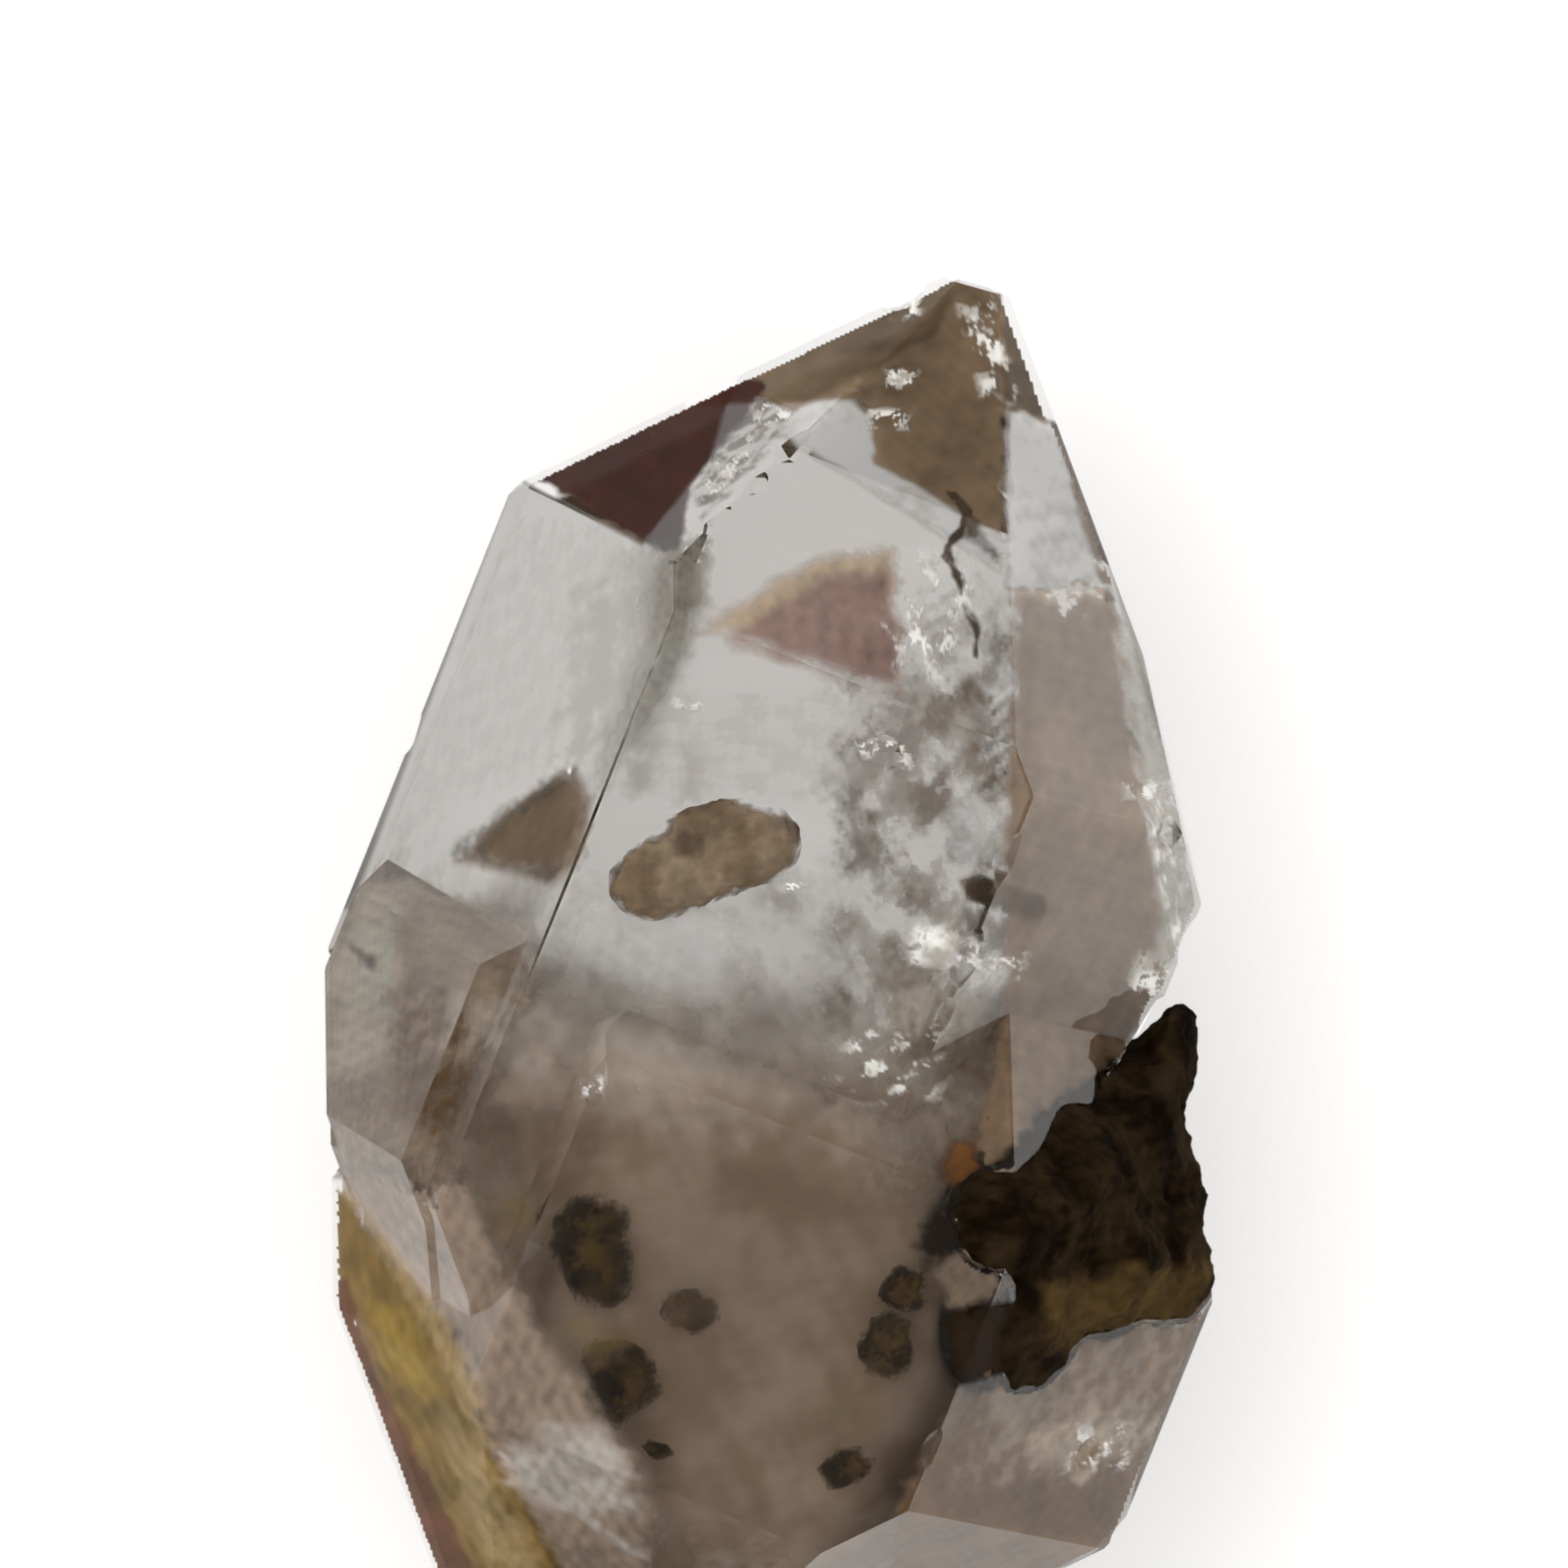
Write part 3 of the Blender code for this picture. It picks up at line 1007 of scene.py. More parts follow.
@dataclass(frozen=True)
class Grain:
    """A sealed grain: a flat rounded body inside an outline of picture corners."""

    name: str
    height: float
    thickness: float
    milk: Milk
    seed: int
    corners: Corners
    rough: float = 0.11
    wavelength: float = 0.6
    fullness: float = 0.6
    rings: int = 34
    around: int = 110
    evenings: int = 12

    def build(self, material: bpy.types.Material) -> bpy.types.Object:
        """Builds the grain.

        Round the middle, q gives the way w, and the outline's radius is (f x d) / (w x d) for the
        side that starts at f and runs along d. From pole to pole, p gives the share of the radius,
        cos p, and of the half thickness, sin p, both to the power of the fullness. A ripple
        roughens it.

        Args:
            material: the grain's finish.

        Returns:
            The piece.
        """
        corner = PICTURE.place(*np.array(self.corners, float).T, self.height)
        middle = corner.mean(axis=0)
        first = (corner - middle)[:, :2]
        side = np.roll(first, -1, axis=0) - first
        p = np.linspace(-0.5 * np.pi, 0.5 * np.pi, self.rings + 2)[1:-1, None]
        q = np.linspace(0.0, 2.0 * np.pi, self.around, endpoint=False)
        way = np.stack([np.cos(q), np.sin(q)], axis=-1)[:, None, :]

        def crossed(u: np.ndarray, v: np.ndarray) -> np.ndarray:
            """Returns the flat cross product of two sets of vectors."""
            return u[..., 0] * v[..., 1] - u[..., 1] * v[..., 0]

        against = crossed(way, side)
        radius, along = crossed(first, side) / against, crossed(first, way) / against
        slack = 1e-9
        met = (along >= -slack) & (along <= 1.0 + slack) & (radius > 0.0)
        radius = evened(np.where(met, radius, 0.0).max(axis=1), self.evenings)
        share = np.cos(p) ** self.fullness
        level = np.sign(np.sin(p)) * np.abs(np.sin(p)) ** self.fullness * self.thickness / 2.0
        away = np.empty((self.rings, self.around, 3))
        away[..., :2], away[..., 2] = way[:, 0] * radius[:, None], level
        skin = away * np.stack([share, share, np.ones_like(share)], axis=-1) + middle
        away /= np.linalg.norm(away, axis=-1, keepdims=True)
        skin = skin + away * (self.rough * ripple(skin, self.wavelength, self.seed, 4))[..., None]
        points, faces = wrap(skin)
        border = np.append(np.repeat(0.5 * share, self.around), [0.0, 0.0])
        paint = self.milk.paint(points, border)
        return piece(self.name, points, faces, material, Slot.MATRIX, paint)


@dataclass(frozen=True)
class Glint:
    """Painted highlights: glowing bright flecks for the glints of a broken face, in a turned box of
    the picture round a middle.
    """

    name: str
    middle: tuple[float, float]
    radii: tuple[float, float]
    turn: float
    facet: float
    least: float
    reach: float = 1.5
    depth: float = 0.07
    wave: float = 0.015
    count: int = 44
    rise: float = 0.16
    dark: Colour = (0.42, 0.39, 0.34)
    light: Colour = (1.0, 0.99, 0.96)
    cover: float = 0.95
    border: tuple[float, float] = (0.20, 0.46)

    def build(self, material: bpy.types.Material, seed: int) -> bpy.types.Object:
        """Builds the sheet whose highest ripples, over the least one that shows, are bright.

        Args:
            material: the broken faces' finish.
            seed: picks the ripples.

        Returns:
            The piece.
        """
        across = self.reach * self.radii[0] * np.array([-1, 1, 1, -1])
        down = self.reach * self.radii[1] * np.array([-1, -1, 1, 1])
        corners = turned(self.middle, across, down, self.turn)
        milk = Milk(
            self.dark, self.light, self.cover, 0.0, self.facet, self.least, self.least + self.rise,
            seed, border=self.border,
        )
        sheet = Veil(f"glint_{self.name}", corners, self.depth, milk, self.wave, count=self.count)
        return sheet.build(material)


@dataclass(frozen=True)
class DarkLump:
    """The dark rock matter in the notch, grown fast to the quartz: the CAD lump with a rough skin.

    swells gives the height, wavelength and seed of each ripple of the skin, in millimetres.
    """

    voxel: float = 0.13
    seat: float = 0.42
    seat_range: tuple[float, float] = (-0.35, 0.25)
    swells: tuple[tuple[float, float, int], ...] = ((0.16, 1.9, 8), (0.10, 0.7, 9))
    shrink: float = 0.06
    milk: Milk = Milk(
        (0.006, 0.003, 0.0012), (0.026, 0.016, 0.007), 1.0, 1.0, 2.2, seed=70,
        thinning=Thinning.NOWHERE, streak=(1.0, 1.0, 1.0),
        stains_or_light=(
            StainOrLight(((1040, 1282), (1120, 1270), (1212, 1262), (1212, 1340), (1050, 1350)),
                  (0.085, 0.052, 0.018), None, 26, 12, 0.7),
            StainOrLight(((940, 1300), (1010, 1290), (1050, 1330), (1000, 1372), (955, 1385)),
                  (0.03, 0.018, 0.009), None, 26, 8, 0.6),
        ),
    )

    def even_skin(self) -> tuple[np.ndarray, np.ndarray, list]:
        """Cuts a merged copy of the CAD lump into even squares.

        Returns:
            The points in millimetres, their normals and the faces.
        """
        mesh = frame["nodes"]["dark_matrix"].data.copy()
        work = bmesh.new()
        work.from_mesh(mesh)
        bmesh.ops.remove_doubles(work, verts=work.verts, dist=1e-6)
        work.to_mesh(mesh)
        work.free()
        block = bpy.data.objects.new("lump_block", mesh)
        bpy.context.scene.collection.objects.link(block)
        skin = block.modifiers.new("skin", "REMESH")
        skin.mode, skin.voxel_size = "VOXEL", self.voxel * MM
        ready = bpy.context.evaluated_depsgraph_get()
        even = bpy.data.meshes.new_from_object(block.evaluated_get(ready))
        bpy.data.objects.remove(block)
        points, normals = np.empty((2, len(even.vertices) * 3))
        even.vertices.foreach_get("co", points)
        even.vertices.foreach_get("normal", normals)
        faces = [list(face.vertices) for face in even.polygons]
        return points.reshape(-1, 3) / MM, normals.reshape(-1, 3), faces

    def build(self, groups: Groups) -> bpy.types.Object:
        """Builds the lump.

        Each point moves out along its normal by the seat's depth where it lies inside the quartz,
        so no air is left between them, and by the ripples less a little.

        Args:
            groups: the shared node groups.

        Returns:
            The piece.
        """
        points, normals, faces = self.even_skin()
        move = self.seat * smooth(inside(points), *self.seat_range) - self.shrink
        for height, wavelength, seed in self.swells:
            move = move + height * ripple(points, wavelength, seed)
        points = points + normals * move[:, None]
        finish = PaintedFinish(
            "dark_rock", groups, scale=1300.0, depth=0.45, roughness=0.95, shine=0.03, relief=0.7
        )
        made = piece(
            "dark_lump", points, faces, finish.make(), Slot.MATRIX, self.milk.paint(points)
        )
        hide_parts("dark_matrix")
        return made


# ---- where the inclusions lie, in picture pixels


def turned(middle: tuple[float, float], x: np.ndarray, y: np.ndarray, turn: float) -> Corners:
    """Returns the corners at x and y from a middle, turned by some degrees."""
    cos, sin = math.cos(math.radians(turn)), math.sin(math.radians(turn))
    return tuple(zip(middle[0] + cos * x - sin * y, middle[1] + sin * x + cos * y))


def oval(middle: tuple[float, float], radii: tuple[float, float], turn: float = 0.0) -> Corners:
    """Returns twelve corners of a turned oval, with the turn in degrees."""
    angle = np.radians(np.arange(0, 360, 30))
    return turned(middle, radii[0] * np.cos(angle), radii[1] * np.sin(angle), turn)


# the sealed grains: height over the floor, thickness, paint, seed and outline
TAN = Milk(
    (0.31, 0.215, 0.13), (0.48, 0.36, 0.235), 1.0, 0.94, 2.2, seed=81, border=(0.43, 0.53),
    stains_or_light=(
        StainOrLight(oval((690, 841), (17, 13)), (0.12, 0.08, 0.05), None, 12, 4, 0.8),
    ),
)
DARK = Milk((0.01, 0.005, 0.001), (0.09, 0.054, 0.013), 1.0, 0.9, 0.9, seed=84, border=(0.33, 0.52))
FAINT = Milk(
    (0.035, 0.02, 0.006), (0.11, 0.065, 0.022), 0.95, 0.8, 0.9, seed=87, border=(0.33, 0.52),
)
BAR = Milk((0.14, 0.095, 0.06), (0.26, 0.18, 0.12), 0.95, 0.8, 1.1, seed=88, border=(0.36, 0.52))
GRAINS = (
    Grain("tan_oval", 16.2, 1.3, TAN, 11, (
        (604, 881), (618, 905), (647, 922), (678, 914), (709, 901), (760, 884), (796, 868),
        (806, 842), (792, 814), (762, 800), (733, 798), (700, 805), (670, 818), (630, 854),
    )),
    Grain("spot_upper", 17.55, 0.7, DARK, 12, (
        (573, 1197), (590, 1188), (612, 1192), (633, 1203), (634, 1290), (618, 1305), (580, 1301),
        (568, 1272), (552, 1246), (551, 1214),
    )),
    Grain("spot_small", 17.6, 0.6, FAINT, 13, (
        (668, 1288), (700, 1283), (720, 1297), (721, 1318), (700, 1329), (676, 1325), (662, 1308),
    )),
    Grain("spot_lower", 17.6, 0.6, DARK, 14, (
        (578, 1352), (600, 1330), (636, 1338), (657, 1356), (665, 1386), (640, 1409), (612, 1414),
        (596, 1394),
    )),
    Grain("spot_lower_bit_a", 17.6, 0.45, DARK, 15, (
        (582, 1412), (604, 1400), (630, 1408), (624, 1426), (600, 1430),
    )),
    Grain("spot_lower_bit_b", 17.6, 0.3, DARK, 16, (
        (638, 1440), (655, 1433), (682, 1449), (660, 1453),
    )),
    Grain("spot_lower_bit_c", 17.6, 0.25, DARK, 17, (
        (604, 1455), (623, 1452), (622, 1467), (606, 1468),
    )),
    Grain("spot_right_top", 17.55, 0.7, DARK, 18, (
        (882, 1276), (900, 1261), (926, 1268), (925, 1302), (900, 1308), (878, 1296),
    )),
    Grain("spot_right_low", 17.55, 0.7, DARK, 19, (
        (868, 1316), (890, 1304), (914, 1320), (912, 1361), (895, 1379), (866, 1367), (856, 1344),
    )),
    Grain("spot_low_right", 17.6, 0.6, DARK, 20, (
        (818, 1463), (838, 1441), (862, 1442), (877, 1455), (865, 1471), (845, 1483), (824, 1481),
    )),
    Grain("small_bar", 15.0, 0.5, BAR, 21, (
        (957, 880), (975, 871), (1003, 880), (1036, 895), (1047, 908), (1030, 917), (995, 906),
        (965, 896),
    )),
)

# the milky bodies of the lower half
HAZES = (
    Haze("milky_core", 0.86, -18.5, 4.0, Milk(
        (0.32, 0.222, 0.148), (0.44, 0.335, 0.245), 1.0, 1.0, 4.0, seed=21,
        thinning=Thinning.UP_THE_AXIS, fade=(-0.8, 1.3), wobble=0.9, streak=(1.0, 1.0, 1.0),
        stains_or_light=(
            StainOrLight(((470, 970), (880, 1040), (920, 1130), (480, 1085)), (0.8, 0.7, 0.585), None, 90,
                  20, 0.9),
        ),
    ), 0.45, 21),
    Haze("thin_mist", 0.975, -19.4, 6.0, Milk(
        (0.36, 0.265, 0.185), (0.54, 0.43, 0.335), 0.72, 0.45, 3.0, seed=24,
        thinning=Thinning.UP_THE_AXIS, fade=(-0.4, 2.4), wobble=1.2, streak=(1.0, 1.0, 1.0),
        stains_or_light=(
            StainOrLight(((470, 950), (880, 1010), (920, 1080), (480, 1040)), (0.88, 0.81, 0.71), None, 80,
                  20, 0.85),
            # thin over the spots, with olive halos round some of them
            StainOrLight(((505, 1120), (880, 1090), (960, 1240), (985, 1420), (860, 1545), (625, 1490),
                   (530, 1310)), (0.44, 0.32, 0.22), 0.05, 70, 16),
            StainOrLight(oval((520, 1215), (30, 24)), (0.42, 0.29, 0.11), 0.6, 34, 10, 0.8),
            StainOrLight(oval((596, 1336), (34, 22)), (0.36, 0.25, 0.07), 0.55, 26, 14, 0.8, 0.5),
            StainOrLight(oval((850, 1400), (30, 34)), (0.34, 0.26, 0.12), 0.45, 34, 14, 0.8, 0.4),
            StainOrLight(oval((700, 1250), (60, 70)), (0.5, 0.39, 0.29), 0.3, 50, 20, 0.8, 0.5),
            StainOrLight(oval((790, 1190), (90, 26), 20), (0.22, 0.14, 0.095), 0.5, 40, 16, 0.7),
        ),
    ), 0.08, 22),
)

# painted reflections of the tip's brown and olive facets, with pale windows of painted light, the
# dark red slope and the pink facet; and the crumpled end of the slope
TIP_VEILS = (
    Veil("tip_reflections", ((665, 255), (1075, 250), (1135, 620), (690, 620)), 0.14, Milk.stained_or_lit(
        (0.17, 0.11, 0.055), (0.29, 0.2, 0.12), 3.0, 41, (0.46, 0.5),
        # painted light: the two pale windows where the tip shows bright surroundings
        StainOrLight(((780, 440), (800, 408), (850, 400), (880, 425), (880, 462), (1006, 545), (1000, 575),
               (880, 500)), (1.0, 0.985, 0.96), 0.8, 14, 3),
        StainOrLight(((1004, 408), (1060, 420), (1112, 560), (1112, 592), (1005, 592)), (1.0, 0.985, 0.96),
              0.9, 8, 3),
        # painted reflections: the brown and olive where the tip's facets show dark surroundings
        StainOrLight(((735, 399), (850, 322), (905, 274), (960, 262), (1020, 290), (1055, 350),
               (1090, 430), (1130, 560), (1130, 612), (1102, 602), (1090, 560), (1076, 508),
               (1052, 427), (1017, 412), (1003, 420), (1002, 543), (946, 508), (916, 488),
               (875, 468), (874, 427), (860, 402), (825, 404), (794, 417), (769, 390)),
              (0.29, 0.2, 0.12), 0.95, 7, 4, 0.97),
        StainOrLight(((670, 410), (680, 360), (850, 290), (905, 250), (975, 250), (938, 335), (870, 375),
               (808, 408), (760, 400)), (0.125, 0.086, 0.048), 0.97, 10, 4),
        StainOrLight(((1003, 255), (1040, 285), (1090, 400), (1062, 424), (1004, 408)),
              (0.14, 0.098, 0.058), 0.97, 8, 4),
    ), 0.03, count=170),
    # painted reflection: the dark red left slope under the tip
    Veil("red_slope_reflection", ((505, 370), (800, 365), (780, 590), (505, 590)), 0.12, Milk.stained_or_lit(
        (0.04, 0.01, 0.006), (0.1, 0.03, 0.02), 2.5, 44, (0.46, 0.5),
        StainOrLight(((514, 478), (600, 424), (690, 374), (766, 380), (760, 400), (735, 440), (713, 457),
               (693, 493), (684, 566), (676, 566), (600, 512), (548, 484)), (0.046, 0.012, 0.007),
              0.985, 6, 4),
    ), 0.01, count=110),
    Veil("slope_crumple", ((680, 385), (815, 385), (800, 540), (690, 540)), 0.3, Milk.stained_or_lit(
        (0.1, 0.07, 0.05), (0.36, 0.29, 0.22), 0.9, 46, (0.44, 0.5),
        StainOrLight(((700, 500), (712, 458), (745, 425), (770, 395), (808, 400), (800, 420), (765, 468),
               (732, 500), (708, 530)), (0.17, 0.125, 0.09), 0.85, 14, 8, 1.0, 0.75),
    ), 0.05, count=90),
    # painted reflection: the pink facet
    Veil("pink_reflection", ((670, 540), (915, 540), (915, 810), (620, 810)), 0.5, Milk.stained_or_lit(
        (0.42, 0.22, 0.16), (0.52, 0.3, 0.23), 2.5, 47, (0.46, 0.5),
        StainOrLight(((700, 636), (815, 566), (892, 556), (894, 600), (790, 640)), (0.72, 0.5, 0.26), 0.75,
              20, 4),
        StainOrLight(((728, 642), (818, 586), (886, 576), (897, 640), (898, 697)), (0.42, 0.245, 0.185),
              0.88, 24, 6),
        StainOrLight(((640, 700), (880, 700), (872, 800), (610, 800)), (0.4, 0.37, 0.33), 0.2, 40, 16, 1.0,
              0.6),
        StainOrLight(((684, 745), (704, 760), (700, 800), (684, 800)), (0.34, 0.27, 0.17), 0.35, 16, 6),
    ), 0.05, count=120),
)

# the left window's streaks, the painted shade of the grey-olive edge beside it, and the growth step
LEFT_VEILS = (
    Veil("left_streaks", ((500, 480), (725, 545), (690, 930), (340, 930)), 0.4, Milk.stained_or_lit(
        (0.16, 0.12, 0.08), (0.4, 0.35, 0.26), 1.8, 51, (0.44, 0.5),
        StainOrLight(((505, 500), (690, 560), (600, 760), (470, 800), (380, 900)), (0.44, 0.42, 0.37),
              0.22, 60, 16, 1.0, 0.5),
        # the next two: painted shade along the front-left edge
        StainOrLight(((640, 560), (703, 560), (690, 650), (660, 730), (640, 790), (626, 700)),
              (0.4, 0.37, 0.3), 0.55, 40, 12),
        StainOrLight(((594, 600), (640, 592), (634, 690), (604, 765), (578, 760), (584, 690)),
              (0.28, 0.24, 0.15), 0.36, 34, 24),
        StainOrLight(((468, 858), (520, 812), (574, 775), (594, 800), (587, 852), (560, 878), (530, 868)),
              (0.145, 0.095, 0.052), 0.94, 20, 10),
        streak=(1.4, 0.6, 0.4),
    ), 0.08, seed=51, count=140),
    # painted shade along the front-left edge
    Veil("edge_shade_band", ((640, 530), (740, 530), (640, 960), (500, 960)), 0.1, Milk.stained_or_lit(
        (0.38, 0.35, 0.28), (0.46, 0.43, 0.36), 1.5, 49, (0.4, 0.5),
        StainOrLight(((660, 548), (712, 540), (706, 600), (664, 700), (640, 720), (652, 640)),
              (0.4, 0.37, 0.3), 0.92, 22, 6),
        StainOrLight(((650, 650), (680, 650), (646, 730), (604, 800), (590, 792), (620, 720)),
              (0.44, 0.42, 0.36), 0.6, 20, 6),
    ), 0.02, seed=49, count=110),
    Veil("left_step", ((300, 860), (580, 860), (600, 1330), (300, 1330)), 0.16, Milk.stained_or_lit(
        (0.33, 0.26, 0.19), (0.5, 0.43, 0.34), 1.8, 54, (0.47, 0.5),
        StainOrLight(((310, 1040), (420, 1040), (470, 1150), (500, 1200), (470, 1330), (310, 1330)),
              (0.42, 0.32, 0.235), 0.7, 60, 16, 1.0, 0.3),
        StainOrLight(((322, 940), (372, 905), (414, 888), (480, 905), (540, 936), (530, 1000), (470, 1070),
               (322, 1090)), (0.52, 0.44, 0.34), 0.84, 26, 9),
        StainOrLight(((416, 905), (480, 912), (530, 945), (520, 1000), (416, 1010)), (0.34, 0.26, 0.185),
              0.84, 24, 8),
        StainOrLight(((371, 942), (413, 928), (413, 1030), (382, 1012)), (0.56, 0.53, 0.43), 0.8, 14, 5),
        StainOrLight(((366, 953), (400, 964), (393, 980)), (0.14, 0.11, 0.09), 0.75, 8, 4),
        StainOrLight(((412, 1000), (466, 1000), (474, 1110), (448, 1150), (416, 1120)), (0.18, 0.1, 0.045),
              0.88, 34, 14, 1.0, 0.35),
        StainOrLight(((330, 1165), (350, 1150), (470, 1300), (480, 1340), (450, 1340)), (0.62, 0.56, 0.48),
              0.6, 20, 14, 1.0, 0.6),
        StainOrLight(((372, 1150), (392, 1150), (470, 1262), (462, 1275)), (0.26, 0.19, 0.14), 0.6, 14, 10,
              1.0, 0.5),
    ), 0.02, seed=54, count=170),
)

# the clouds of the middle, and the brown strip along the right side, mostly a painted reflection
MIDDLE_VEILS = (
    Veil("front_cloud", ((535, 860), (905, 850), (925, 1120), (495, 1050)), 1.0, Milk(
        (0.33, 0.285, 0.23), (0.56, 0.52, 0.47), 0.68, 0.22, 2.6, -0.4, 0.6, 56, border=(0.24, 0.5),
        stains_or_light=(
            StainOrLight(((540, 880), (640, 890), (740, 940), (700, 1000), (530, 1000)), (0.8, 0.78, 0.75),
                  0.4, 60, 20),
        ),
    ), 0.3, seed=55, count=130),
    Veil("edge_cloud", ((822, 590), (1012, 560), (1060, 1140), (790, 1140)), 0.9, Milk(
        (0.2, 0.145, 0.1), (0.51, 0.47, 0.415), 0.84, 0.16, 1.7, -0.45, 0.3, 60, border=(0.26, 0.5),
        stains_or_light=(
            StainOrLight(((957, 880), (975, 871), (1003, 880), (1016, 888), (1016, 912), (995, 906),
                   (965, 896)), (0.2, 0.14, 0.09), 0.9, 12, 5),
            StainOrLight(((955, 680), (1002, 700), (1010, 790), (990, 815), (965, 770)),
                  (0.17, 0.115, 0.07), 0.9, 24, 18, 1.0, 0.3),
            StainOrLight(((832, 795), (860, 778), (876, 840), (850, 885), (838, 850)), (0.18, 0.13, 0.085),
                  0.85, 20, 18, 1.0, 0.4),
            StainOrLight(((880, 720), (910, 690), (925, 760), (905, 810), (885, 790)), (0.24, 0.18, 0.125),
                  0.75, 20, 18, 1.0, 0.4),
            StainOrLight(((905, 580), (940, 600), (965, 660), (940, 680), (900, 640)), (0.34, 0.29, 0.23),
                  0.7, 24, 18, 1.0, 0.6),
            StainOrLight(oval((985, 1053), (24, 18)), (0.2, 0.13, 0.08), 0.9, 14, 8),
            StainOrLight(oval((935, 1010), (40, 26)), (0.78, 0.72, 0.63), 0.9, 24, 14),
            StainOrLight(oval((900, 1075), (34, 26)), (0.74, 0.67, 0.58), 0.9, 24, 14),
            StainOrLight(oval((975, 830), (30, 24)), (0.8, 0.8, 0.8), 0.8, 24, 14, 1.0, 0.4),
        ),
    ), 0.3, 3.0, 53, 170),
    # mostly painted reflection: the warm brown seen through the right side, with a pale rim and the
    # brown bar
    Veil("right_strip", ((992, 575), (1135, 575), (1250, 1230), (950, 1230)), 0.16, Milk.stained_or_lit(
        (0.34, 0.235, 0.16), (0.48, 0.37, 0.28), 2.2, 64, (0.47, 0.5),
        StainOrLight(((1106, 596), (1130, 640), (1175, 760), (1205, 860), (1212, 960), (1165, 1000),
               (1140, 985), (1155, 900), (1140, 800), (1122, 700)), (0.6, 0.58, 0.5), 0.7, 16, 8,
              1.0, 0.3),
        StainOrLight(((1009, 582), (1106, 584), (1110, 610), (1009, 610)), (0.74, 0.54, 0.3), 0.8, 12, 2),
        StainOrLight(((1012, 602), (1109, 602), (1127, 700), (1142, 800), (1158, 900), (1160, 990),
               (1120, 1070), (1040, 1130), (985, 1190), (968, 1160), (1000, 1010), (1002, 820)),
              (0.365, 0.245, 0.15), 0.88, 18, 8),
        StainOrLight(((1000, 884), (1036, 895), (1047, 908), (1030, 917), (1000, 910)), (0.2, 0.14, 0.09),
              0.9, 12, 5),
    ), 0.02, seed=64, count=170),
    Veil("right_cloud", ((860, 955), (1130, 930), (1060, 1230), (840, 1210)), 0.6, Milk(
        (0.31, 0.23, 0.165), (0.6, 0.52, 0.43), 0.88, 0.5, 1.6, -0.3, 0.3, 67, border=(0.26, 0.5),
        stains_or_light=(
            StainOrLight(oval((935, 1010), (40, 26)), (0.7, 0.63, 0.54), 0.9, 24, 14, 0.8, 0.3),
            StainOrLight(oval((965, 1045), (38, 44)), (0.24, 0.17, 0.115), 0.9, 34, 14, 0.8, 0.4),
        ),
    ), 0.2, seed=67, count=120),
)

